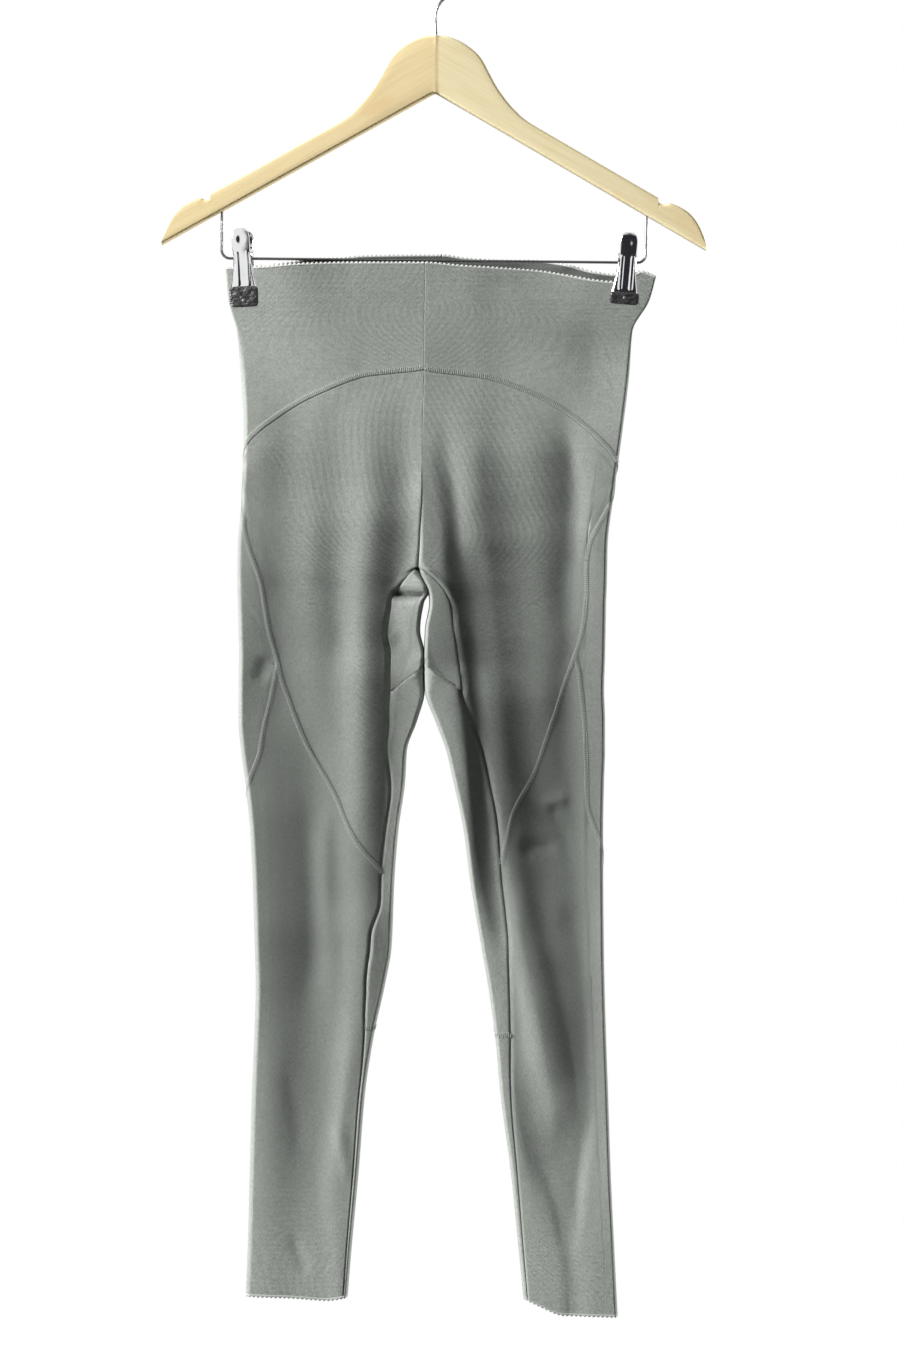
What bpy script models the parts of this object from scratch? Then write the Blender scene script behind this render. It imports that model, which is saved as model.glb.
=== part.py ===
"""Close-fitting leggings clipped by the waist to a wooden hanger with a crossbar.

+Z is up, -Y is the front and -X is the left as seen from the front. The origin is the inside top of the
hook, where a rail holds the hanger. Tables and sizes are in millimetres and MM turns them into metres.
"Drop" is the distance below the origin. The cloth is one surface for each half of the garment: its
sections come from the tables below, and the seams divide it into the pieces that are cut and sewn.
"""
import math
from collections import namedtuple

import bmesh
import bpy
from mathutils import Vector

MM = 0.001
SEAM_GAP = 0.36         # set a little over 0.3, because a bend in a seam narrows its gap

# ---------------------------------------------------------------- cloth sizes
CLOTH_WALL = 1.2
EDGE_SWELL = 48.0       # how far from a side fold the cloth reaches its full depth
GATHERED_DEPTH = 0.75   # distance of each wall's middle from the other's, halved, where a clip grips
COLUMNS = 24            # stretches of the surface around each half
INSEAM_BEND = 0.36      # share of the columns that bend to meet the inseam
LEVEL_ROOM = 5.0        # a level this near a seam or a rim is left out
RIM_LEVEL = 262.0       # drop at which the columns are matched to the waist's rim
GUSSET_COLUMNS = 5      # stretches of the gusset from its middle line to each seam
MITRE_LIMIT = 0.02      # keeps a sharp corner of a piece from being pulled far in

CROTCH = 524.8          # drop of the lowest point between the legs
CROTCH_CURVE = 95.0     # height over which front and back curve in to it
GUSSET_TOP = 505.2
GUSSET_TIP = 607.0
BACK_SEAM_SHIFT = 13.5  # the centre back seam lies this far right of the front one at the waist
SHIFT_FADE = 200.0

Edge = namedtuple("Edge", "drop outer inner")
LEFT_EDGES = [
    Edge(259.8, -172.6, -9.8), Edge(286.0, -170.1, -10.0), Edge(311.3, -163.2, -10.3),
    Edge(347.3, -159.9, -10.6), Edge(392.3, -157.5, -11.5), Edge(445.5, -158.7, -12.3),
    Edge(486.4, -162.0, -13.5), Edge(505.2, -162.4, -14.7), Edge(524.8, -162.4, -7.0),
    Edge(533.0, -162.0, -11.0), Edge(555.9, -161.6, -14.2), Edge(576.3, -161.1, -11.3),
    Edge(605.0, -161.6, -11.3), Edge(629.5, -161.6, -16.6), Edge(654.1, -159.5, -25.0),
    Edge(678.6, -156.2, -26.4), Edge(719.5, -152.1, -32.0), Edge(760.4, -150.1, -35.3),
    Edge(813.6, -148.5, -37.5), Edge(846.3, -147.7, -43.1), Edge(887.2, -148.9, -52.1),
    Edge(936.3, -150.9, -59.5), Edge(997.6, -152.6, -64.4), Edge(1059.0, -154.2, -70.1),
    Edge(1103.9, -156.2, -73.8),
]
RIGHT_EDGES = [
    Edge(259.8, 180.4, -9.8), Edge(286.0, 173.4, -10.0), Edge(311.3, 159.5, -10.3),
    Edge(347.3, 156.7, -10.6), Edge(392.3, 151.3, -11.5), Edge(445.5, 144.0, -12.3),
    Edge(486.4, 139.1, -13.5), Edge(505.2, 138.7, -14.7), Edge(524.8, 138.2, -7.0),
    Edge(533.0, 137.8, -5.8), Edge(555.9, 137.4, -9.4), Edge(576.3, 137.0, -9.2),
    Edge(605.0, 136.2, -8.6), Edge(629.5, 137.0, -1.0), Edge(654.1, 137.0, 8.0),
    Edge(678.6, 136.2, 13.7), Edge(719.5, 135.4, 22.3), Edge(760.4, 135.5, 27.6),
    Edge(813.6, 136.0, 36.6), Edge(846.3, 136.6, 42.3), Edge(887.2, 137.8, 48.0),
    Edge(936.3, 139.5, 52.5), Edge(997.6, 141.5, 60.7), Edge(1059.0, 144.4, 66.9),
    Edge(1114.6, 147.2, 72.4),
]

Depth = namedtuple("Depth", "drop front back fold_radius")
DEPTHS = [
    Depth(255.0, 9.0, 15.0, 1.5), Depth(286.0, 13.0, 18.0, 2.0), Depth(347.3, 21.0, 26.0, 6.0),
    Depth(392.3, 25.0, 30.0, 8.0), Depth(486.4, 29.0, 34.0, 9.0), Depth(533.0, 29.0, 33.0, 9.0),
    Depth(605.0, 27.0, 30.0, 9.0), Depth(678.6, 24.0, 27.0, 8.5), Depth(760.4, 20.0, 23.0, 8.0),
    Depth(846.3, 17.0, 19.0, 7.5), Depth(936.3, 15.0, 17.0, 7.0), Depth(1059.0, 12.0, 13.0, 6.0),
    Depth(1115.0, 11.0, 12.0, 5.0),
]

Rim = namedtuple("Rim", "x drop")
FRONT_RIM = [
    Rim(-172.6, 259.8), Rim(-146.4, 259.4), Rim(-112.0, 257.3), Rim(-71.2, 256.1), Rim(-9.8, 254.9),
    Rim(19.6, 257.0), Rim(51.5, 258.5), Rim(81.0, 260.6), Rim(109.6, 265.8), Rim(130.0, 269.6),
    Rim(144.8, 271.6), Rim(163.6, 268.8), Rim(180.4, 267.1),
]
BACK_RIM = [
    Rim(-172.6, 259.8), Rim(-149.7, 258.9), Rim(-118.0, 255.4), Rim(-100.0, 251.0), Rim(-59.7, 247.6),
    Rim(3.7, 246.8), Rim(49.9, 252.4), Rim(77.7, 253.4), Rim(101.4, 257.5), Rim(128.4, 264.2),
    Rim(146.4, 265.5), Rim(168.5, 263.0), Rim(180.4, 267.1),
]
LEFT_HEM = [Rim(-156.2, 1099.0), Rim(-120.0, 1099.9), Rim(-90.0, 1101.5), Rim(-73.8, 1099.0)]
RIGHT_HEM = [Rim(72.4, 1101.5), Rim(84.3, 1107.3), Rim(102.3, 1113.8), Rim(147.2, 1114.6)]

# A fold runs through three points. Depth is outward, left and right are how far its flanks reach.
Fold = namedtuple("Fold", "face x1 drop1 x2 drop2 x3 drop3 left right depth")
LEFT_FOLDS = [
    Fold("front", -42.5, 409, -44.2, 572, -48.3, 736, 15.0, 7.0, -9.0),
    Fold("front", -67.9, 392, -71.2, 531, -83.4, 695, 13.0, 12.0, 4.0),
    Fold("front", -94.0, 392, -97.3, 531, -108.0, 679, 10.0, 10.0, -3.5),
    Fold("front", -122.7, 740, -122.7, 859, -124.3, 960, 16.0, 14.0, -5.0),
    Fold("front", -94.0, 760, -99.0, 859, -100.6, 1050, 9.0, 16.0, 4.0),
    Fold("back", -60.0, 430, -66.0, 600, -74.0, 790, 12.0, 14.0, -6.0),
    Fold("back", -118.0, 400, -116.0, 560, -112.0, 720, 13.0, 11.0, 4.0),
    Fold("back", -104.0, 800, -108.0, 930, -114.0, 1070, 13.0, 12.0, -4.0),
]
RIGHT_FOLDS = [
    Fold("front", 13.1, 440, 22.1, 564, 36.8, 700, 8.0, 11.0, -8.0),
    Fold("front", 97.3, 392, 97.3, 482, 100.6, 590, 10.0, 10.0, -4.0),
    Fold("front", 129.0, 409, 119.4, 531, 119.4, 752, 12.0, 6.0, -8.0),
    Fold("front", 92.4, 740, 110.4, 859, 125.0, 949, 22.0, 9.0, -7.0),
    Fold("front", 67.9, 760, 76.0, 877, 99.0, 943, 11.0, 11.0, 4.0),
    Fold("front", 97.3, 978, 103.0, 1038, 110.4, 1096, 9.0, 7.0, -5.0),
    Fold("back", 52.0, 430, 62.0, 600, 72.0, 790, 13.0, 12.0, -6.0),
    Fold("back", 100.0, 420, 96.0, 560, 98.0, 700, 12.0, 12.0, 4.0),
    Fold("back", 92.0, 800, 100.0, 930, 108.0, 1070, 12.0, 12.0, -4.0),
]
FOLD_FADE = 45.0        # a fold runs out over this length at both ends
FOLD_EDGE = 14.0        # and over this width at a side fold

# Seams, from the inner edge round the outer side, by where they cross each face.
Crossing = namedtuple("Crossing", "face x drop")
LEFT_YOKE = [
    Crossing("front", -10.6, 343.5), Crossing("front", -54.0, 349.0), Crossing("front", -99.0, 365.5),
    Crossing("front", -136.0, 388.5), Crossing("front", -148.9, 399.5), Crossing("back", -157.8, 417.6),
    Crossing("back", -120.0, 428.0), Crossing("back", -60.0, 412.0), Crossing("back", -11.0, 398.0),
]
LEFT_DIAGONAL = [
    Crossing("front", -44.2, 753.0), Crossing("front", -68.7, 723.0), Crossing("front", -93.3, 671.0),
    Crossing("front", -123.5, 602.0), Crossing("front", -135.0, 564.0), Crossing("front", -149.7, 507.0),
    Crossing("back", -160.5, 474.0),
]
LEFT_CALF = [
    Crossing("front", -129.2, 584.5), Crossing("front", -138.2, 625.4), Crossing("front", -144.8, 659.0),
    Crossing("back", -153.0, 700.0), Crossing("back", -112.0, 760.0), Crossing("back", -70.0, 826.0),
    Crossing("back", -52.0, 880.0),
]
RIGHT_YOKE = [
    Crossing("front", -10.6, 343.5), Crossing("front", 35.2, 350.6), Crossing("front", 79.3, 365.3),
    Crossing("front", 108.8, 382.5), Crossing("front", 135.0, 406.0), Crossing("back", 147.5, 426.6),
    Crossing("back", 110.0, 436.0), Crossing("back", 50.0, 414.0), Crossing("back", -11.0, 398.0),
]
RIGHT_DIAGONAL = [
    Crossing("front", 49.9, 745.7), Crossing("front", 62.2, 704.0), Crossing("front", 82.6, 664.7),
    Crossing("front", 97.3, 629.5), Crossing("front", 108.8, 580.4), Crossing("front", 121.0, 489.6),
    Crossing("back", 140.0, 462.0),
]
RIGHT_CALF = [
    Crossing("front", 111.5, 570.0), Crossing("front", 117.8, 605.0), Crossing("front", 123.0, 700.0),
    Crossing("back", 135.4, 743.0), Crossing("back", 108.0, 790.0), Crossing("back", 72.0, 840.0),
    Crossing("back", 46.0, 886.0),
]

# The inseam lies in front of the leg's inner edge. The gusset is between its two offsets from it.
Inseam = namedtuple("Inseam", "drop left right gusset_back")
INSEAMS = [
    Inseam(505.2, 0.0, 0.0, 0.0), Inseam(519.0, 10.0, 9.0, -0.05), Inseam(540.0, 16.0, 16.0, -0.07),
    Inseam(572.0, 23.0, 24.0, -0.04), Inseam(607.0, 25.0, 30.0, 1.0), Inseam(700.0, 15.0, 29.0, 1.0),
    Inseam(753.0, 10.0, 26.0, 1.0), Inseam(806.0, 17.0, 23.0, 1.0), Inseam(890.0, 9.0, 12.0, 1.0),
    Inseam(1000.0, 6.0, 5.0, 1.0), Inseam(1115.0, 4.0, 3.0, 1.0),
]

# ---------------------------------------------------------------- hanger sizes
HANGER_TILT = math.radians(0.6)
APEX = 70.0             # drop of the wood's highest point
WOOD_THICK = 12.0
WOOD_ROUND = 2.2
BORE_GAP = 0.3
HOOK_WIRE = 1.2         # radii of the two wires
BAR_WIRE = 1.1
HOOK_RADIUS = 18.5      # inside the bend
HOOK_START = -50.0      # the bend's ends, degrees up from +X
HOOK_END = 205.0
HOOK_DEPTH = 28.0       # length of hook inside the wood
HOOK_STEPS = 26
BAR_DROP = 253.6
BAR_HALF = 173.5
BAR_BEND = 7.0
BAR_DEPTH = 11.0        # length of each end inside the wood
BEND_STEPS = 8

Outline = namedtuple("Outline", "x drop")
DOME = [
    Outline(0.0, 0.0), Outline(9.0, 0.9), Outline(17.0, 3.4), Outline(25.5, 8.0), Outline(33.0, 14.0),
    Outline(38.5, 20.5), Outline(44.5, 31.5), Outline(51.0, 43.0), Outline(59.5, 54.5),
    Outline(68.0, 63.5), Outline(74.0, 68.5), Outline(82.0, 73.6),
]
NOTCH = Outline(187.0, 132.2)
NOTCH_RADIUS = 4.1
NOTCH_START = 0.07      # the notch's ends, as shares of a half turn
NOTCH_END = 0.93
NOTCH_STEPS = 8
SHOULDER_TIP = [
    Outline(193.5, 135.2), Outline(201.0, 138.3), Outline(208.0, 142.8), Outline(213.5, 148.6),
    Outline(218.0, 156.0), Outline(221.3, 164.5), Outline(222.5, 171.0), Outline(221.0, 172.2),
]
UNDERSIDE = Outline(0.0, 46.6)

# Clips: sizes from the centre of the bar's hole, front jaw on -Y. The right rubber caps are pushed up.
Clip = namedtuple("Clip", "name x lean turn cap_top cap_bottom")
CLIPS = [
    Clip("left", -158.3, math.radians(-2.2), math.radians(-8.0), -22.0, -39.0),
    Clip("right", 155.4, math.radians(4.6), 0.0, -20.5, -33.6),
]
Jaw = namedtuple("Jaw", "height half_width depth")
JAW = [
    Jaw(24.5, 2.6, 9.0), Jaw(23.4, 5.0, 9.2), Jaw(21.0, 6.6, 9.5), Jaw(16.5, 7.3, 9.5),
    Jaw(10.0, 7.3, 8.2), Jaw(4.0, 7.2, 6.0), Jaw(-2.0, 7.4, 5.3), Jaw(-10.0, 8.2, 5.0),
    Jaw(-18.0, 9.6, 4.4), Jaw(-23.0, 10.4, 4.0), Jaw(-31.0, 10.4, 4.0),
]
JAW_SHARES = [-1.0, -0.7, 0.0, 0.7, 1.0]
JAW_CROWN = 0.5
JAW_WALL = 0.9
EAR_RADIUS = 4.2
EAR_HOLE = 3.0
EAR_REACH = 5.5         # an ear's root, inside its jaw's wall
EAR_WALL = 0.8
FRONT_EAR_X = 6.4
BACK_EAR_X = 5.2
CLIP_SAG = 1.1          # the hole's centre hangs this far below the bar's
CAP_HALF = 11.8
CAP_FRONT = 6.0
CAP_CLOTH = 1.65        # rubber face from the middle plane
CAP_ROUND = 0.8
CAP_ROOM = 0.3          # clearance round a jaw's end in its cap
SPRING_HALF = 4.3
SPRING_COILS = 5
SPRING_INNER = 2.7
SPRING_WIRE = 0.7
GRIP_HALF_WIDTH = 22.0  # cloth is flat this far from a clip's middle, and free beyond the next value
GRIP_FREE_WIDTH = 62.0
GRIP_HEIGHT = 42.0
GRIP_FREE_HEIGHT = 125.0


# ---------------------------------------------------------------- reading the tables
def smooth(t):
    """Ease from 0 to 1."""
    t = min(1.0, max(0.0, t))
    return t * t * (3.0 - 2.0 * t)


def read(rows, key, column, value):
    """Value of a column at a place between the rows, along a curve that doesn't overshoot."""
    keys = [getattr(row, key) for row in rows]
    values = [getattr(row, column) for row in rows]
    if value <= keys[0]:
        return values[0]
    if value >= keys[-1]:
        return values[-1]
    slopes = [(values[i + 1] - values[i]) / (keys[i + 1] - keys[i]) for i in range(len(rows) - 1)]
    index = max(i for i in range(len(rows) - 1) if keys[i] <= value)

    def tangent(i):
        if i in (0, len(rows) - 1):
            return slopes[0] if i == 0 else slopes[-1]
        before, after = slopes[i - 1], slopes[i]
        if before * after <= 0.0:
            return 0.0
        return 2.0 * before * after / (before + after)

    span = keys[index + 1] - keys[index]
    t = (value - keys[index]) / span
    start = values[index] * (2 * t**3 - 3 * t**2 + 1) + values[index + 1] * (3 * t**2 - 2 * t**3)
    bend = tangent(index) * (t**3 - 2 * t**2 + t) + tangent(index + 1) * (t**3 - t**2)
    return start + bend * span


# ---------------------------------------------------------------- the cloth's surface
class Half:
    """One half of the garment: a surface over how far around it is and how far it has dropped."""

    def __init__(self, name, edges, folds, yoke, diagonal, calf, hem):
        self.name = name
        self.side = -1.0 if name == "left" else 1.0
        self.edges = edges
        self.folds = folds
        self.hem = hem
        self.clip = next(clip for clip in CLIPS if clip.name == name)
        self.yoke = self.seam(yoke)
        self.diagonal = self.seam(diagonal)
        self.calf = self.seam(calf)
        self.levels = levels()
        for end in (self.diagonal[0].drop, self.calf[-1].drop):
            nearest = min(range(len(self.levels)), key=lambda index: abs(self.levels[index] - end))
            self.levels[nearest] = end

    def openness(self, drop):
        """1 where the half is open to the other one, 0 where it is a closed leg."""
        t = min(1.0, max(0.0, (drop - CROTCH + CROTCH_CURVE) / CROTCH_CURVE))
        return math.sqrt(1.0 - t * t)

    def inner(self, face, drop):
        """Inner edge of a face: the centre seam above the crotch, the leg's inner edge below it."""
        middle = read(self.edges, "drop", "inner", drop)
        if face == "front":
            return middle
        return middle + BACK_SEAM_SHIFT * (1.0 - smooth((drop - FRONT_RIM[0].drop) / SHIFT_FADE))

    def rise(self, reach, radius, depth):
        """Depth of the cloth at a distance from a rounded side fold."""
        fold = math.sqrt(max(0.0, radius**2 - (radius - min(reach, radius)) ** 2))
        return fold + (depth - radius) * smooth(reach / EDGE_SWELL)

    def fold_depth(self, face, x, drop):
        """Sum of the ridges and troughs that pass near a place."""
        total = 0.0
        for fold in self.folds:
            if fold.face != face:
                continue
            path = [Rim(fold.x1, fold.drop1), Rim(fold.x2, fold.drop2), Rim(fold.x3, fold.drop3)]
            away = x - read(path, "drop", "x", drop)
            reach = fold.left if away < 0.0 else fold.right
            start = smooth((drop - fold.drop1 + FOLD_FADE) / FOLD_FADE)
            end = smooth((fold.drop3 + FOLD_FADE - drop) / FOLD_FADE)
            total += fold.depth * start * end * math.exp(-((away / reach) ** 2))
        return total

    def grip(self, x, drop):
        """1 where the clip holds front and back together, 0 where the cloth is free."""
        beside = abs(x - self.clip.x) - GRIP_HALF_WIDTH
        below = drop - read(FRONT_RIM, "x", "drop", x) - GRIP_HEIGHT
        across = 1.0 - smooth(beside / (GRIP_FREE_WIDTH - GRIP_HALF_WIDTH))
        down = 1.0 - smooth(below / (GRIP_FREE_HEIGHT - GRIP_HEIGHT))
        return across * down

    def place(self, around, drop):
        """Point of the cloth's middle surface; around runs from 0 over the front to 1 over the back."""
        around = around - 1.0 if around > 1.0 else around
        face = "front" if around <= 0.5 else "back"
        sign = -1.0 if face == "front" else 1.0
        outer = read(self.edges, "drop", "outer", drop)
        inner = self.inner(face, drop)
        share = (1.0 - math.cos(2.0 * math.pi * around)) / 2.0
        x = inner + (outer - inner) * share
        depth = read(DEPTHS, "drop", face, drop)
        radius = read(DEPTHS, "drop", "fold_radius", drop)
        outer_reach, inner_reach = abs(outer - x), abs(x - inner)
        openness = self.openness(drop)
        closed_inner = self.rise(inner_reach, radius, depth) / depth
        inner_share = openness + (1.0 - openness) * closed_inner
        free = self.rise(outer_reach, radius, depth) * inner_share
        outer_fade = smooth(outer_reach / FOLD_EDGE)
        inner_fade = smooth((inner_reach + FOLD_EDGE * openness) / FOLD_EDGE)
        free += self.fold_depth(face, x, drop) * outer_fade * inner_fade
        grip = self.grip(x, drop)
        held = self.rise(outer_reach, GATHERED_DEPTH, GATHERED_DEPTH)
        y = sign * (free * (1.0 - grip) + held * grip)
        y += grip * (x - self.clip.x) * math.tan(self.clip.turn)
        return Vector((x, y, -drop))

    def normal(self, around, drop):
        """Outward direction of the surface."""
        step, fall = 0.003, 0.6
        closed = drop > CROTCH + fall
        before = around - step if closed or around > step else around
        after = around + step if closed or around < 1.0 - step else around
        before = before + 1.0 if before < 0.0 else before
        across = self.place(after, drop) - self.place(before, drop)
        down = self.place(around, drop + fall) - self.place(around, drop - fall)
        direction = across.cross(down) * self.side
        at_middle = not closed and (around < 0.001 or around > 0.999)
        if at_middle:
            direction.x = 0.0
        return direction.normalized()

    def inseam(self, drop):
        """How far around the inseam lies, and the back edge of the gusset there."""
        outer = read(self.edges, "drop", "outer", drop)
        inner = read(self.edges, "drop", "inner", drop)
        share = read(INSEAMS, "drop", self.name, drop) / abs(outer - inner)
        front = math.acos(1.0 - 2.0 * share) / (2.0 * math.pi)
        back = read(INSEAMS, "drop", "gusset_back", drop)
        if drop >= GUSSET_TIP:
            return front, 1.0 + front
        if back > 0.0:
            return front, 1.0 + front * back
        return front, 1.0 + back

    def around(self, u, drop):
        """Place around the section of a column, which bends only near the inseam to end on it."""
        front, back = self.inseam(drop)
        near_front = 1.0 - smooth(u / INSEAM_BEND)
        near_back = 1.0 - smooth((1.0 - u) / INSEAM_BEND)
        return u + front * near_front + (back - 1.0) * near_back

    def column(self, around, drop):
        """The column that passes a place around the section."""
        low, high = 0.0, 1.0
        for _ in range(30):
            middle = (low + high) / 2.0
            if self.around(middle, drop) < around:
                low = middle
            else:
                high = middle
        return low

    def seam(self, crossings):
        """A seam as drop over u."""
        points = []
        for crossing in crossings:
            outer = read(self.edges, "drop", "outer", crossing.drop)
            inner = self.inner(crossing.face, crossing.drop)
            share = min(1.0, max(0.0, (crossing.x - inner) / (outer - inner)))
            turn = math.acos(1.0 - 2.0 * share) / (2.0 * math.pi)
            turn = turn if crossing.face == "front" else 1.0 - turn
            points.append(Rim(self.column(turn, crossing.drop), crossing.drop))
        return points

    def rim(self, u):
        """Drop of the waist's edge, front and back."""
        top = FRONT_RIM if u <= 0.5 else BACK_RIM
        return read(top, "x", "drop", self.place(self.around(u, RIM_LEVEL), RIM_LEVEL).x)

    def hem_edge(self, u):
        """Drop of the hem."""
        drop = self.hem[0].drop
        return read(self.hem, "x", "drop", self.place(self.around(u, drop), drop).x)

    def vertex(self, u, drop):
        """Point and outward direction at a share of the way round."""
        around = self.around(u, drop)
        return self.place(around, drop), self.normal(around, drop)


def levels():
    """Drops at which every column has a point, closer where the shape changes fast."""
    Stretch = namedtuple("Stretch", "start end steps")
    stretches = [
        Stretch(272.0, 316.0, 4), Stretch(316.0, 466.0, 7), Stretch(466.0, GUSSET_TOP, 2),
        Stretch(GUSSET_TOP, 540.0, 4), Stretch(540.0, GUSSET_TIP, 5), Stretch(GUSSET_TIP, 1095.0, 19),
    ]
    drops = []
    for stretch in stretches:
        height = (stretch.end - stretch.start) / stretch.steps
        drops += [stretch.start + height * step for step in range(stretch.steps)]
    return drops


# ---------------------------------------------------------------- turning surfaces into solids
def new_object(name, mesh, material):
    item = bpy.data.objects.new(name, mesh)
    bpy.context.collection.objects.link(item)
    mesh.materials.append(material)
    return item


def edge_pull(bm, gap):
    """Move an open surface's edges in by half a seam gap, mitred at its corners."""
    moves = {}
    for edge in bm.edges:
        if len(edge.link_faces) != 1:
            continue
        middle = (edge.verts[0].co + edge.verts[1].co) / 2.0
        along = (edge.verts[1].co - edge.verts[0].co).normalized()
        inward = edge.link_faces[0].calc_center_median() - middle
        inward = (inward - along * inward.dot(along)).normalized()
        for vertex in edge.verts:
            moves.setdefault(vertex, []).append(inward)
    for vertex, sides in moves.items():
        spread = max(MITRE_LIMIT, 1.0 + sides[0].dot(sides[-1]))
        vertex.co += (sides[0] + sides[-1]) / spread * gap / 2.0


def seam_order(point):
    """Key that makes both pieces at a seam split the cut edge's faces along the same diagonal."""
    return point.z + 0.37 * point.x + 0.11 * point.y


def shell(name, points, normals, faces, wall, material, gap=0.0):
    """A wall of even thickness with the given surface in its middle."""
    bm = bmesh.new()
    corners = [bm.verts.new(point) for point in points]
    for face in faces:
        bm.faces.new([corners[index] for index in face])
    bm.normal_update()
    if gap:
        edge_pull(bm, gap)
    bm.verts.index_update()
    half = wall / 2.0
    count = len(points)
    outside = [vertex.co + normal * half for vertex, normal in zip(corners, normals)]
    inside = [vertex.co - normal * half for vertex, normal in zip(corners, normals)]
    polygons = []
    for face in bm.faces:
        ring = [vertex.index for vertex in face.verts]
        polygons.append(ring)
        polygons.append([index + count for index in reversed(ring)])
    for edge in bm.edges:
        if len(edge.link_faces) == 1:
            loop = edge.link_loops[0]
            start, end = loop.vert.index, loop.link_loop_next.vert.index
            if seam_order(points[start]) < seam_order(points[end]):
                polygons += [[end, start, start + count], [end, start + count, end + count]]
            else:
                polygons += [[end, start, end + count], [start, start + count, end + count]]
    bm.free()
    mesh = bpy.data.meshes.new(name)
    mesh.from_pydata([point * MM for point in outside + inside], [], polygons)
    solid = bmesh.new()
    solid.from_mesh(mesh)
    bmesh.ops.recalc_face_normals(solid, faces=solid.faces)
    solid.to_mesh(mesh)
    solid.free()
    mesh.shade_smooth()
    return new_object(name, mesh, material)


def zip_columns(columns):
    """Faces between neighbouring columns of (drop, index) pairs, which may differ in length."""
    faces = []
    for left, right in zip(columns, columns[1:]):
        i, j = 0, 0
        while i < len(left) - 1 or j < len(right) - 1:
            next_left = left[i + 1][0] if i < len(left) - 1 else math.inf
            next_right = right[j + 1][0] if j < len(right) - 1 else math.inf
            if abs(next_left - next_right) < 0.01:
                faces.append((left[i][1], left[i + 1][1], right[j + 1][1], right[j][1]))
                i, j = i + 1, j + 1
            elif next_left < next_right:
                faces.append((left[i][1], left[i + 1][1], right[j][1]))
                i += 1
            else:
                faces.append((left[i][1], right[j + 1][1], right[j][1]))
                j += 1
    return faces


def panel(name, half, shares, top, bottom, material):
    """A cut piece of cloth between two seams, over some of the half's columns."""
    points, normals, columns = [], [], []
    for u in shares:
        start, end = top(u), bottom(u)
        drops = [start] + [drop for drop in half.levels if start + LEVEL_ROOM < drop < end - LEVEL_ROOM]
        drops += [end] if end - start > 0.5 else []
        column = []
        for drop in drops:
            point, normal = half.vertex(u, drop)
            column.append((drop, len(points)))
            points.append(point)
            normals.append(normal)
        columns.append(column)
    return shell(name, points, normals, zip_columns(columns), CLOTH_WALL, material, SEAM_GAP)


def column_shares(half):
    """Shares of the way round at which the half's pieces have columns, seam ends included."""
    shares = [step / COLUMNS for step in range(COLUMNS + 1)]
    for end in (half.calf[0].x, half.diagonal[-1].x):
        nearest = min(range(1, COLUMNS), key=lambda index: abs(shares[index] - end))
        shares[nearest] = end
    return shares


def leg_pieces(half, colours):
    """The four pieces of one half that have a seam on each side."""
    shares = column_shares(half)
    calf_start, diagonal_end = half.calf[0].x, half.diagonal[-1].x

    def yoke(u):
        return read(half.yoke, "x", "drop", u)

    def diagonal(u):
        """The diagonal seam, which ends on the arched one."""
        if u >= diagonal_end:
            return yoke(u)
        ends = half.diagonal[:-1] + [Rim(diagonal_end, yoke(diagonal_end))]
        return read(ends, "x", "drop", u)

    def calf(u):
        starts = [Rim(calf_start, diagonal(calf_start))] + half.calf[1:]
        return read(starts, "x", "drop", u)

    def lower_top(u):
        return diagonal(u) if u < calf_start else calf(u)

    front = [u for u in shares if u <= diagonal_end]
    back = [u for u in shares if u >= calf_start]
    panel("waistband_" + half.name, half, shares, half.rim, yoke, colours["band"])
    panel("front_thigh_" + half.name, half, front, yoke, diagonal, colours["thigh"])
    panel("back_panel_" + half.name, half, back, diagonal, calf, colours["back"])
    panel("lower_leg_" + half.name, half, shares, lower_top, half.hem_edge, colours["lower"])


def gusset(halves, material):
    """The diamond between the legs: lines across it hang like small U shapes from seam to seam."""
    ends = [drop for drop in levels() if GUSSET_TOP - 0.01 < drop < GUSSET_TIP + 0.01]
    points, normals, columns = [], [], []
    for half in halves:
        order = range(len(ends)) if half.side > 0.0 else range(len(ends) - 1, 0, -1)
        for row in order:
            progress = row / (len(ends) - 1)
            dip = (CROTCH - GUSSET_TOP) * (1.0 - progress)
            front, back = half.inseam(ends[row])
            middle = half.inseam(GUSSET_TIP)[0] * progress**2
            at_tip = row == len(ends) - 1
            column = []
            for step in [0] if at_tip else range(-GUSSET_COLUMNS, GUSSET_COLUMNS + 1):
                t = step / GUSSET_COLUMNS
                drop = ends[row] + dip * (1.0 - t * t)
                edge = front if t < 0.0 else back - 1.0
                turn = middle + (edge - middle) * abs(t)
                around = turn if t < 0.0 or turn > 0.0 else 1.0 + turn
                around = 1.0 if t > 0.0 and abs(turn) < 1e-9 else around
                if at_tip:
                    around, drop = front, GUSSET_TIP
                column.append((t, len(points)))
                points.append(half.place(around, drop))
                normals.append(half.normal(around, drop))
            columns.append(column)
    return shell("gusset", points, normals, zip_columns(columns), CLOTH_WALL, material, SEAM_GAP)


# ---------------------------------------------------------------- hanger
def hide_tool(item):
    """Mark an object as a cutter or a guide."""
    item.hide_render = True
    item.display_type = "WIRE"


def boolean(target, tool, operation):
    change = target.modifiers.new(operation.title(), "BOOLEAN")
    change.operation = operation
    change.solver = "EXACT"
    change.object = tool
    hide_tool(tool)


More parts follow.
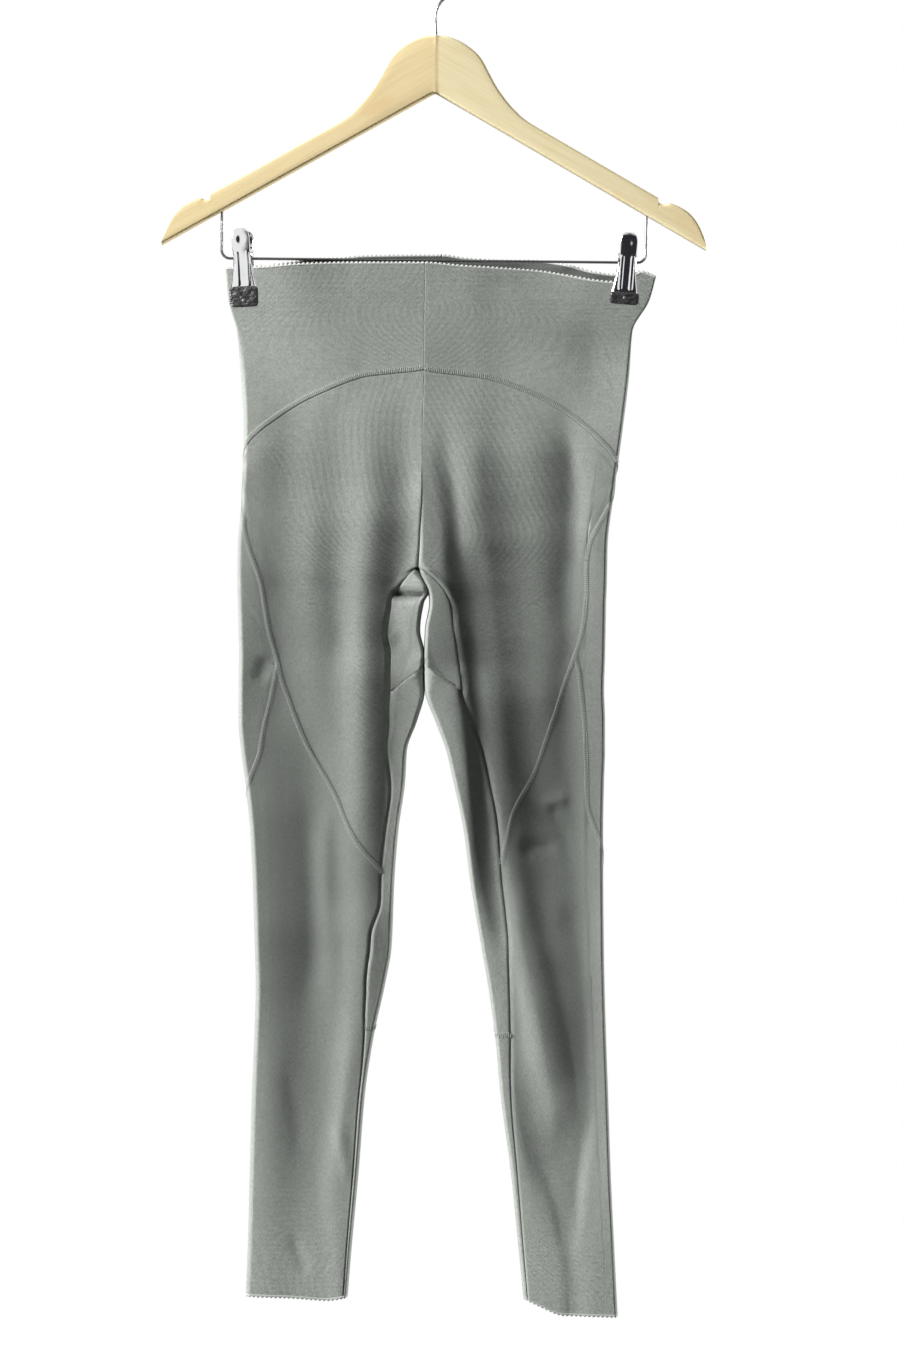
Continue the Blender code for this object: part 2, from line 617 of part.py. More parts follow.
def cylinder(name, radius, start, end, material, segments=24):
    """A round bar between two points."""
    bm = bmesh.new()
    axis = (end - start).normalized()
    side = axis.orthogonal().normalized()
    other = axis.cross(side)
    rings = []
    for centre in (start, end):
        ring = []
        for step in range(segments):
            angle = 2.0 * math.pi * step / segments
            offset = side * math.cos(angle) + other * math.sin(angle)
            ring.append(bm.verts.new((centre + offset * radius) * MM))
        rings.append(bm.faces.new(ring))
    bmesh.ops.bridge_loops(bm, edges=list(rings[0].edges) + list(rings[1].edges))
    bmesh.ops.recalc_face_normals(bm, faces=bm.faces)
    mesh = bpy.data.meshes.new(name)
    bm.to_mesh(mesh)
    bm.free()
    return new_object(name, mesh, material)


def wire(name, points, radius, material):
    """A bent wire through a list of points."""
    curve = bpy.data.curves.new(name, "CURVE")
    curve.dimensions = "3D"
    curve.bevel_depth = radius * MM
    curve.bevel_resolution = 3
    curve.use_fill_caps = True
    spline = curve.splines.new("POLY")
    spline.points.add(len(points) - 1)
    for target, point in zip(spline.points, points):
        target.co = (*(point * MM), 1.0)
    spline.use_smooth = True
    return new_object(name, curve, material)


def wood_outline():
    """Half of the hanger's outline, from the top of the middle joint round to its lower end."""
    points = list(DOME)
    tilt = math.atan((NOTCH.drop - DOME[-1].drop) / (NOTCH.x - DOME[-1].x))
    for step in range(NOTCH_STEPS + 1):
        angle = math.pi * (NOTCH_END + (NOTCH_START - NOTCH_END) * step / NOTCH_STEPS)
        across, down = math.cos(angle) * NOTCH_RADIUS, math.sin(angle) * NOTCH_RADIUS
        x = NOTCH.x + across * math.cos(tilt) - down * math.sin(tilt)
        drop = NOTCH.drop + across * math.sin(tilt) + down * math.cos(tilt)
        points.append(Outline(x, drop))
    return points + SHOULDER_TIP + [UNDERSIDE]


def wood_half(side, material):
    """One wooden arm with its rounded long edges; the middle joint's face stays square."""
    outline = wood_outline()
    bm = bmesh.new()
    faces = []
    for y in (-WOOD_THICK / 2.0, WOOD_THICK / 2.0):
        ring = []
        for point in outline:
            x = side * max(point.x, SEAM_GAP / 2.0)
            ring.append(bm.verts.new(Vector((x, y, -APEX - point.drop)) * MM))
        faces.append(bm.faces.new(ring))
    rims = list(faces[0].edges) + list(faces[1].edges)
    bmesh.ops.bridge_loops(bm, edges=rims)
    bmesh.ops.recalc_face_normals(bm, faces=bm.faces)
    joint = SEAM_GAP / 2.0 * MM + 1e-6
    long_edges = [edge for edge in rims if max(abs(vertex.co.x) for vertex in edge.verts) > joint]
    bmesh.ops.bevel(bm, geom=long_edges, offset=WOOD_ROUND * MM, segments=3, profile=0.5, affect="EDGES")
    mesh = bpy.data.meshes.new("wood")
    bm.to_mesh(mesh)
    bm.free()
    return new_object("wood_left" if side < 0.0 else "wood_right", mesh, material)


def underside_drop(x):
    """Drop of the wood's straight underside."""
    tip = SHOULDER_TIP[-1]
    return APEX + UNDERSIDE.drop + (tip.drop - UNDERSIDE.drop) * abs(x) / tip.x


def hook_points():
    """The hook: up out of the wood, aside, then round over the rail and down."""
    shank = [
        Vector((0.0, 0.0, -APEX - HOOK_DEPTH)), Vector((0.0, 0.0, -APEX)), Vector((-0.2, 0.0, -61.0)),
        Vector((-0.5, 0.0, -55.0)), Vector((0.0, 0.0, -50.5)), Vector((1.7, 0.0, -45.6)),
        Vector((4.6, 0.0, -41.1)), Vector((8.4, 0.0, -37.2)),
    ]
    radius = HOOK_RADIUS + HOOK_WIRE
    bend = []
    for step in range(HOOK_STEPS + 1):
        angle = math.radians(HOOK_START + (HOOK_END - HOOK_START) * step / HOOK_STEPS)
        bend.append(Vector((math.cos(angle) * radius, 0.0, math.sin(angle) * radius - HOOK_RADIUS)))
    return shank + bend


def bar_points():
    """The crossbar wire: out of one arm, along below it and up into the other."""
    points = []
    for side in (-1.0, 1.0):
        corner = [Vector((side * BAR_HALF, 0.0, BAR_DEPTH - underside_drop(BAR_HALF)))]
        for step in range(BEND_STEPS + 1):
            angle = math.pi / 2.0 * step / BEND_STEPS
            x = BAR_HALF - BAR_BEND * (1.0 - math.cos(angle))
            drop = BAR_DROP - BAR_BEND * (1.0 - math.sin(angle))
            corner.append(Vector((side * x, 0.0, -drop)))
        points += corner if side < 0.0 else reversed(corner)
    return points


def hanger(materials):
    """Wood, hook and crossbar, hung a little out of level."""
    tilt = bpy.data.objects.new("hanger_tilt", None)
    bpy.context.collection.objects.link(tilt)
    tilt.rotation_euler.y = HANGER_TILT
    hook = wire("hook", hook_points(), HOOK_WIRE, materials["hook"])
    bar = wire("crossbar", bar_points(), BAR_WIRE, materials["bar"])
    for side in (-1.0, 1.0):
        arm = wood_half(side, materials["wood_left" if side < 0.0 else "wood_right"])
        hook_bore = cylinder(
            "hook_bore", HOOK_WIRE + BORE_GAP, Vector((0, 0, -APEX - HOOK_DEPTH - BORE_GAP)),
            Vector((0, 0, -APEX + 5.0)), materials["tool"],
        )
        bore_top = BAR_DEPTH + BORE_GAP - underside_drop(BAR_HALF)
        bar_bore = cylinder(
            "bar_bore", BAR_WIRE + BORE_GAP, Vector((side * BAR_HALF, 0, bore_top)),
            Vector((side * BAR_HALF, 0, -underside_drop(BAR_HALF) - 8.0)), materials["tool"],
        )
        boolean(arm, hook_bore, "DIFFERENCE")
        boolean(arm, bar_bore, "DIFFERENCE")
        for item in (arm, hook_bore, bar_bore):
            item.parent = tilt
    hook.parent = tilt
    bar.parent = tilt


# ---------------------------------------------------------------- clips
def jaw_plate(name, face, material):
    """A stamped jaw: thumb pad, neck and flared gripping end, a little crowned across."""
    points = []
    for row in JAW:
        for share in JAW_SHARES:
            y = row.depth - JAW_CROWN * share * share
            points.append(Vector((row.half_width * share, face * y, row.height)))
    width = len(JAW_SHARES)
    faces = []
    for row in range(len(JAW) - 1):
        for column in range(width - 1):
            corner = row * width + column
            faces.append((corner, corner + 1, corner + width + 1, corner + width))
    normals = []
    for index in range(len(points)):
        row = index // width
        upper, lower = JAW[max(row - 1, 0)], JAW[min(row + 1, len(JAW) - 1)]
        fall = Vector((0.0, face * (lower.depth - upper.depth), lower.height - upper.height))
        normals.append(fall.cross(Vector((-face, 0.0, 0.0))).normalized())
    return shell(name, points, normals, faces, JAW_WALL, material)


def ear_tab(x, face, material):
    """A flat ear: round past the crossbar and straight back to its own jaw."""
    outline = [(face * EAR_REACH, EAR_RADIUS), (face * EAR_REACH, -EAR_RADIUS)]
    for step in range(13):
        angle = math.pi * step / 12.0
        outline.append((-face * math.sin(angle) * EAR_RADIUS, -math.cos(angle) * EAR_RADIUS))
    bm = bmesh.new()
    sides = []
    for offset in (-EAR_WALL / 2.0, EAR_WALL / 2.0):
        ring = [bm.verts.new(Vector((x + offset, y, z)) * MM) for y, z in outline]
        sides.append(bm.faces.new(ring))
    bmesh.ops.bridge_loops(bm, edges=list(sides[0].edges) + list(sides[1].edges))
    bmesh.ops.recalc_face_normals(bm, faces=bm.faces)
    mesh = bpy.data.meshes.new("ear")
    bm.to_mesh(mesh)
    bm.free()
    return new_object("ear", mesh, material)


def jaw(clip, part, face, ear_x, hole, materials):
    """A jaw with two ears that ride on the crossbar."""
    plate = jaw_plate("clip_" + clip.name + "_" + part + "_jaw", face, materials["jaw_" + part])
    tools = []
    for side in (-1.0, 1.0):
        ear = ear_tab(side * ear_x, face, materials["tool"])
        boolean(plate, ear, "UNION")
        tools.append(ear)
    boolean(plate, hole, "DIFFERENCE")
    return [plate] + tools


def rubber_cap(clip, part, face, slot, material):
    """A rubber cap on a jaw's end, slotted for it."""
    low = Vector((-CAP_HALF, min(face * CAP_CLOTH, face * CAP_FRONT), clip.cap_bottom))
    high = Vector((CAP_HALF, max(face * CAP_CLOTH, face * CAP_FRONT), clip.cap_top))
    cap = block("clip_" + clip.name + "_" + part + "_pad", low, high, CAP_ROUND, material)
    boolean(cap, slot, "DIFFERENCE")
    return cap


def slot_cutter(clip, face, material):
    """Room for a jaw's end in its rubber cap, open at the top."""
    end = JAW[-1]
    depths = [face * (end.depth + JAW_WALL / 2.0 + CAP_ROOM)]
    depths.append(face * (end.depth - JAW_CROWN - JAW_WALL / 2.0 - CAP_ROOM))
    low = Vector((-end.half_width - CAP_ROOM, min(depths), end.height - CAP_ROOM))
    high = Vector((end.half_width + CAP_ROOM, max(depths), clip.cap_top + CAP_ROUND))
    return block("slot", low, high, 0.0, material)


def block(name, low, high, edge_round, material):
    """A block between two corners, with its edges rounded if asked."""
    bm = bmesh.new()
    bmesh.ops.create_cube(bm, size=1.0)
    for vertex in bm.verts:
        for axis in range(3):
            share = vertex.co[axis] + 0.5
            vertex.co[axis] = (low[axis] + (high[axis] - low[axis]) * share) * MM
    if edge_round:
        edges = bm.edges[:]
        bmesh.ops.bevel(bm, geom=edges, offset=edge_round * MM, segments=2, profile=0.5, affect="EDGES")
    mesh = bpy.data.meshes.new(name)
    bm.to_mesh(mesh)
    bm.free()
    return new_object(name, mesh, material)


def spring(clip, material):
    """A close coil round the crossbar between the ears, its turns joined."""
    bm = bmesh.new()
    profile = []
    steps = SPRING_COILS * 4
    for step in range(steps + 1):
        x = -SPRING_HALF + 2.0 * SPRING_HALF * step / steps
        swell = abs(math.sin(math.pi * SPRING_COILS * step / steps))
        profile.append((x, SPRING_INNER + SPRING_WIRE * (1.0 + swell)))
    profile += [(SPRING_HALF, SPRING_INNER), (-SPRING_HALF, SPRING_INNER)]
    segments = 14
    rings = []
    for turn in range(segments):
        angle = 2.0 * math.pi * turn / segments
        ring = [bm.verts.new(Vector((x, radius * math.cos(angle), radius * math.sin(angle))) * MM)
                for x, radius in profile]
        rings.append(ring)
    for ring, following in zip(rings, rings[1:] + rings[:1]):
        for index in range(len(profile)):
            after = (index + 1) % len(profile)
            bm.faces.new((ring[index], ring[after], following[after], following[index]))
    bmesh.ops.recalc_face_normals(bm, faces=bm.faces)
    name = "clip_" + clip.name + "_spring"
    mesh = bpy.data.meshes.new(name)
    bm.to_mesh(mesh)
    bm.free()
    return new_object(name, mesh, material)


def clip_parts(clip, materials):
    """A sprung clip that hangs on the crossbar and grips the waist."""
    stand = bpy.data.objects.new("clip_" + clip.name, None)
    bpy.context.collection.objects.link(stand)
    bar_drop = BAR_DROP + clip.x * math.sin(HANGER_TILT)
    stand.location = Vector((clip.x, 0.0, -bar_drop - CLIP_SAG)) * MM
    stand.rotation_euler = (0.0, clip.lean, clip.turn)
    hole = cylinder("ear_hole", EAR_HOLE, Vector((-9.0, 0, 0)), Vector((9.0, 0, 0)), materials["tool"])
    items = [hole, spring(clip, materials["spring"])]
    for part, face, ear_x in (("front", -1.0, FRONT_EAR_X), ("back", 1.0, BACK_EAR_X)):
        items += jaw(clip, part, face, ear_x, hole, materials)
        slot = slot_cutter(clip, face, materials["tool"])
        items += [slot, rubber_cap(clip, part, face, slot, materials["pad_" + part])]
    for item in items:
        item.parent = stand


# ---------------------------------------------------------------- colours
def material(name, colour, roughness, metallic=0.0):
    made = bpy.data.materials.new(name)
    made.use_nodes = True
    made.diffuse_color = (*colour, 1.0)
    shader = made.node_tree.nodes["Principled BSDF"]
    shader.inputs["Base Color"].default_value = (*colour, 1.0)
    shader.inputs["Roughness"].default_value = roughness
    shader.inputs["Metallic"].default_value = metallic
    return made


def main():
    for item in list(bpy.data.objects):
        bpy.data.objects.remove(item, do_unlink=True)
    cloth = (0.24, 0.27, 0.25)
    colours = {part: material("knit " + part, cloth, 0.9) for part in ("band", "thigh", "back", "lower")}
    halves = [
        Half("left", LEFT_EDGES, LEFT_FOLDS, LEFT_YOKE, LEFT_DIAGONAL, LEFT_CALF, LEFT_HEM),
        Half("right", RIGHT_EDGES, RIGHT_FOLDS, RIGHT_YOKE, RIGHT_DIAGONAL, RIGHT_CALF, RIGHT_HEM),
    ]
    for half in halves:
        leg_pieces(half, colours)
    gusset(halves, material("knit gusset", cloth, 0.9))
    finishes = {
        "wood_left": material("wood left", (0.72, 0.55, 0.33), 0.5),
        "wood_right": material("wood right", (0.72, 0.55, 0.33), 0.5),
        "hook": material("hook wire", (0.75, 0.76, 0.78), 0.15, 1.0),
        "bar": material("crossbar wire", (0.75, 0.76, 0.78), 0.15, 1.0),
        "jaw_front": material("front jaw", (0.7, 0.71, 0.73), 0.15, 1.0),
        "jaw_back": material("back jaw", (0.7, 0.71, 0.73), 0.15, 1.0),
        "pad_front": material("front pad", (0.02, 0.02, 0.02), 0.7),
        "pad_back": material("back pad", (0.02, 0.02, 0.02), 0.7),
        "spring": material("spring", (0.5, 0.5, 0.52), 0.3, 1.0),
        "tool": material("tool", (1.0, 0.3, 0.1), 0.5),
    }
    hanger(finishes)
    for clip in CLIPS:
        clip_parts(clip, finishes)


main()
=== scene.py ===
"""Leggings hung by the waist from a wooden clip hanger, laid out as a Blender add-on.

The frame is loaded first, then each operator makes one kind of piece in its place. Tables and sizes are in
millimetres, as a pattern maker would write them, and MM turns them into metres. "Drop" is the distance
below the inside top of the hook. -Y is the front and -X the left as seen from the front.
"""

import math
from collections import namedtuple

import bmesh
import bpy
import numpy as np
from bpy.props import FloatProperty, FloatVectorProperty, PointerProperty
from mathutils import Matrix, Vector


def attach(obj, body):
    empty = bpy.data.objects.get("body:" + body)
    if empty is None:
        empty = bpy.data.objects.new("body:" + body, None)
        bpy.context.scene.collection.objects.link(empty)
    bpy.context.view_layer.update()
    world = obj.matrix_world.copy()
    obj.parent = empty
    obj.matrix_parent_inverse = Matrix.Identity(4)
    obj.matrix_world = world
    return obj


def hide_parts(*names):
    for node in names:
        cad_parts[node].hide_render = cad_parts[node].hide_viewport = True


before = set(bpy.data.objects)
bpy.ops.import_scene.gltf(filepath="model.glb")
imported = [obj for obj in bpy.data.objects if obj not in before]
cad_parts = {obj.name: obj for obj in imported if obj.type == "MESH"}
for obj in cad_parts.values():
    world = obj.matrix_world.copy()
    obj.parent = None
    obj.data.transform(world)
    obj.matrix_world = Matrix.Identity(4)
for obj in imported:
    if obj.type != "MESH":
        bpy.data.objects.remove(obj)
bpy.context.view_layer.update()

bl_info = {
    "name": "Hanging leggings",
    "version": (1, 0, 0),
    "blender": (4, 5, 0),
    "location": "3D View > Sidebar > Leggings",
    "description": "Stretch leggings on a wooden hanger with two sprung clips",
    "category": "Object",
}

MM = 0.001
BODY = "root"


def table(kind, *values):
    """Rows of a table, with the columns of their kind."""
    return [kind(*row) for row in values]



# ---------------------------------------------------------------- cloth sizes
EDGE_SWELL = 48.0       # how far from a side fold the cloth reaches its full depth
GATHERED_DEPTH = 0.75   # distance of each wall's middle from the other's, halved, where a clip grips
INSEAM_BEND = 0.36      # share of the columns that bend to meet the inseam
INSEAM_NEAR = 0.10      # share of the columns that follow it exactly
FRONT_SOFT = (470.0, 90.0)   # drop where the other columns start to bend, and over what length
BACK_SOFT = (560.0, 100.0)
CROTCH = 524.8          # drop of the lowest point between the legs
CROTCH_CURVE = 95.0     # height over which front and back curve in to it
GUSSET_TOP = 505.2
GUSSET_TIP = 607.0
GUSSET_END = 0.98       # share of the way to a tip at which its cloth ends, before it narrows to nothing
GUSSET_ROWS = 61
GUSSET_COLUMNS = 47     # from the middle to each tip
BACK_SEAM_SHIFT = 13.5  # the centre back seam lies this far right of the front one at the waist
SHIFT_FADE = 200.0      # and comes back to it over this drop
RIM_LEVEL = 262.0       # drop at which the columns are matched to the waist's rim

Edge = namedtuple("Edge", "drop outer inner")
LEFT_EDGES = table(
    Edge, (259.8, -172.6, -9.8), (286, -170.1, -10), (311.3, -163.2, -10.3), (347.3, -159.9, -10.6),
    (392.3, -157.5, -11.5), (445.5, -158.7, -12.3), (486.4, -162, -13.5), (505.2, -162.4, -14.7),
    (524.8, -162.4, -7), (533, -162, -11), (555.9, -161.6, -14.2), (576.3, -161.1, -10.3),
    (605, -161.6, -10.4), (629.5, -161.6, -16.6), (654.1, -159.5, -25), (678.6, -156.2, -26.4),
    (719.5, -152.1, -32), (760.4, -150.1, -35.3), (813.6, -148.5, -37.5), (846.3, -147.7, -43.1),
    (887.2, -148.9, -52.1), (936.3, -150.9, -59.5), (997.6, -152.6, -64.4), (1059, -154.2, -70.1),
    (1103.9, -156.2, -73.8))
RIGHT_EDGES = table(
    Edge, (259.8, 180.4, -9.8), (286, 173.4, -10), (311.3, 159.5, -10.3), (347.3, 156.7, -10.6),
    (392.3, 151.3, -11.5), (445.5, 144, -12.3), (486.4, 139.1, -13.5), (505.2, 138.7, -14.7),
    (524.8, 138.2, -7), (533, 137.8, -5.8), (555.9, 137.4, -9.4), (576.3, 137, -10.1),
    (605, 136.2, -9.4), (629.5, 137, -1), (654.1, 137, 8), (678.6, 136.2, 13.7), (719.5, 135.4, 22.3),
    (760.4, 135.5, 27.6), (813.6, 136, 36.6), (846.3, 136.6, 42.3), (887.2, 137.8, 48),
    (936.3, 139.5, 52.5), (997.6, 141.5, 60.7), (1059, 144.4, 66.9), (1114.6, 147.2, 72.4))

Depth = namedtuple("Depth", "drop front back fold_radius")
DEPTHS = table(
    Depth, (255, 9, 15, 1.5), (286, 13, 18, 2), (347.3, 21, 26, 6), (392.3, 25, 30, 8),
    (486.4, 29, 34, 9), (533, 29, 33, 9), (605, 27, 30, 9), (678.6, 24, 27, 8.5), (760.4, 20, 23, 8),
    (846.3, 17, 19, 7.5), (936.3, 15, 17, 7), (1059, 12, 13, 6), (1115, 11, 12, 5))

Rim = namedtuple("Rim", "x drop")
FRONT_RIM = table(
    Rim, (-172.6, 259.8), (-146.4, 259.4), (-112, 257.3), (-71.2, 256.1), (-9.8, 256), (19.6, 258.5),
    (51.5, 260.3), (81, 262.3), (109.6, 266.6), (130, 270.2), (144.8, 271.6), (158, 270), (167.5, 263.4),
    (180.4, 267.1))
BACK_RIM = table(
    Rim, (-172.6, 259.8), (-149.7, 258.9), (-118, 255.4), (-100, 252.2), (-80, 250.8), (-59.7, 248.6),
    (3.7, 247.8), (22, 250.2), (49.9, 252.2), (77.7, 252.4), (101.4, 255.8), (113, 259), (128.4, 263.2),
    (146.4, 265.5), (168.5, 263), (180.4, 267.1))
LEFT_HEM = table(
    Rim, (-156.2, 1099), (-120, 1099.9), (-90, 1101.5), (-73.8, 1099))
RIGHT_HEM = table(
    Rim, (72.4, 1101.5), (84.3, 1107.3), (102.3, 1113.8), (147.2, 1114.6))

# A fold runs through three points and tapers to both ends. Depth is outward; left and right are how far its
# flanks reach, seen with the line running down. A line that runs to the right has its left flank below it.
Fold = namedtuple("Fold", "face x1 drop1 x2 drop2 x3 drop3 left right depth")
LEFT_FOLDS = table(
    Fold, ("front", -38.5, 524, -22, 528, 6, 529, 4, 3, -8),
    ("front", -148, 292, -128, 309, -96, 330, 5, 9, -1.2),
    ("front", -37, 560, -26, 571, -14, 584, 10, 6, -1.5),
    ("front", -126, 905, -116, 948, -112, 1000, 6, 9, -0.5),
    ("front", -84, 950, -76, 984, -72, 1012, 5, 6, 1),
    ("front", -120, 1046, -112, 1066, -106, 1086, 5, 6, -0.9),
    ("front", -136, 574, -141, 588, -147, 600, 6, 6, -1.2),
    ("back", -60, 380, -66, 600, -74, 840, 12, 14, -6),
    ("back", -118, 350, -116, 560, -112, 770, 13, 11, 4),
    ("back", -104, 750, -108, 930, -114, 1110, 13, 12, -4))
RIGHT_FOLDS = table(
    Fold, ("front", 158, 290, 152, 300, 144, 309, 4, 6, -2),
    ("front", 146, 306, 153, 314, 157, 326, 5, 5, 1.8),
    ("front", 88, 694, 100, 716, 112, 752, 6, 5, -0.7),
    ("front", 66, 741, 82, 733, 106, 728, 5, 7, -0.9), ("front", 84, 703, 96, 696, 112, 692, 5, 6, 1),
    ("front", 129, 952, 122, 1010, 113, 1086, 7, 6, 0.8),
    ("front", 80, 978, 98, 1030, 109, 1095, 6, 9, -1), ("front", 61, 775, 66, 830, 76, 878, 4, 6, 1),
    ("front", 20, 278, 75, 281, 140, 288, 22, 15, -1.6), ("back", 52, 380, 62, 600, 72, 840, 13, 12, -6),
    ("back", 100, 370, 96, 560, 98, 750, 12, 12, 4), ("back", 92, 750, 100, 930, 108, 1110, 12, 12, -4))
FOLD_POINTS = 9         # points taken along a fold's line
FOLD_REACH = 3.0        # a fold is left out further away than this many of its flanks
FOLD_TAPER = 0.32       # share of a fold's length over which each end fades
FOLD_EDGE = 14.0        # folds also fade over this width at a side fold
INNER_FADE = 4.0        # and over this one at the inner edge

# The front of each leg hangs in long folds. Each line runs down a flank or a hollow of them, and says how
# steeply the cloth comes forward to the right there. Levels say how far forward it is at its two edges.
At = namedtuple("At", "drop x rise")
Level = namedtuple("Level", "drop inner outer")
LEFT_FRONT = {
    "side": table(
        At, (286, -165, 0.05), (351, -152, -0.03), (417, -151, 0), (490, -154, 0), (540, -155, -0.1),
        (597, -153, -0.16), (662, -146, -0.12), (728, -143, -0.13), (859, -143, -0.1), (940, -146, 0.06),
        (1022, -149, 0.17), (1100, -150, 0.2)),
    "side hollow": table(
        At, (286, -135, 0.03), (351, -137, 0), (384, -129, -0.125), (417, -131, -0.17),
        (466, -134, -0.145), (515, -134, -0.16), (564, -137, -0.16), (597, -136, -0.155),
        (630, -132, -0.145), (662, -119, -0.17), (728, -111, -0.24), (793, -108, -0.28),
        (826, -109, -0.29), (859, -115, -0.26), (940, -122, -0.22), (1022, -123, -0.06),
        (1063, -125, 0.04), (1100, -126, 0.06)),
    "outer crest": table(
        At, (286, -105, 0.1), (351, -97, 0.08), (384, -107, 0.02), (417, -110, -0.02), (466, -107, 0.04),
        (515, -111, 0.02), (564, -109, -0.03), (597, -107, 0), (630, -98, -0.02), (662, -90, 0.07),
        (695, -90, 0.06), (728, -96, 0.15), (793, -93, 0.12), (826, -92, 0.2), (859, -92, 0.08),
        (900, -97, -0.05), (981, -102, -0.04), (1063, -107, 0.12)),
    "hollow": table(
        At, (286, -85, 0.12), (351, -77, 0.06), (384, -90, -0.05), (466, -92, -0.1), (490, -91, -0.15),
        (564, -87.5, -0.165), (597, -92, -0.07), (630, -87, -0.02), (662, -82, 0.1), (695, -83, 0.08),
        (728, -87, -0.03), (760, -87, -0.09), (793, -86, -0.03), (826, -83, 0.03), (859, -84, 0.1),
        (940, -92, 0.06), (1022, -99, 0.07), (1063, -98, 0.13)),
    "crest": table(
        At, (286, -60, 0.05), (351, -66, 0.02), (384, -71, 0.03), (417, -66, 0.09), (466, -65, 0.16),
        (515, -69, 0.2), (564, -69, 0.24), (597, -70, 0.19), (695, -73, 0.18), (728, -75, 0.185),
        (793, -72, 0.15), (859, -75, 0.2), (900, -77, 0.26), (981, -85, 0.25), (1022, -91, 0.2),
        (1063, -84, 0.22)),
    "trench": table(
        At, (286, -48, 0.05), (351, -56, 0.07), (384, -46, -0.08), (417, -43, -0.17), (441, -43, -0.22),
        (466, -44, -0.26), (490, -46, -0.29), (515, -48, -0.32), (531, -51, -0.29), (564, -51.5, -0.33),
        (597, -50.5, -0.36), (630, -51.5, -0.34), (662, -50.5, -0.35), (695, -51, -0.34),
        (728, -51.5, -0.28), (760, -52, -0.25), (793, -53, -0.2), (810, -55, -0.1), (826, -58, -0.02),
        (859, -62, 0), (900, -67, -0.03), (940, -72, -0.02), (981, -77, 0), (1063, -80, 0.13)),
    "trench end": table(
        At, (286, -38, 0.05), (351, -44, 0.06), (384, -36, -0.1), (417, -35, -0.14), (441, -37.5, -0.24),
        (466, -39, -0.28), (499, -40, -0.35), (515, -40.5, -0.38), (531, -42, -0.4), (564, -43, -0.45),
        (597, -42, -0.48), (630, -41.5, -0.5), (662, -42.5, -0.5), (695, -44, -0.47), (728, -45.5, -0.4),
        (760, -47.5, -0.36), (793, -48.5, -0.26), (810, -51, -0.22), (826, -54, -0.13),
        (900, -63, -0.11), (940, -68, -0.04), (981, -73.5, 0), (1063, -77, 0.06)),
    "flap": table(
        At, (286, -20, 0.05), (351, -20, 0.08), (384, -22, 0.03), (417, -19, 0.12), (441, -18.5, 0.25),
        (466, -17, 0.2), (490, -19, 0.27), (511, -24, 0.3), (519, -31, 0.33), (531, -35.5, 0.28),
        (564, -37, 0.23), (597, -37.5, 0.06), (630, -36, 0.08), (662, -37, 0.1), (695, -38, 0.08),
        (728, -41, 0.1), (760, -43, 0.08), (793, -45, -0.13), (826, -47, -0.18), (859, -53, -0.12),
        (900, -58, -0.12), (940, -63, 0.05), (1063, -73, 0.16)),
}
LEFT_LEVELS = table(
    Level, (255, 3, 1.5), (286, 5, 5), (351, 12, 13.5), (384, 17.5, 19), (417, 22, 24.2),
    (466, 25, 26.5), (500, 24, 27.4), (511, 24.4, 27.4), (521, 26.2, 27.4), (535, 26, 27.4),
    (564, 23, 27.4), (585, 20.2, 27), (630, 15.4, 24.6), (695, 12, 21.6), (760, 9.8, 19),
    (793, 8.8, 17.8), (826, 8.5, 15.3), (900, 8.9, 12.2), (940, 9, 11), (981, 9.7, 9.3), (1063, 12, 5.5),
    (1115, 12.3, 5))
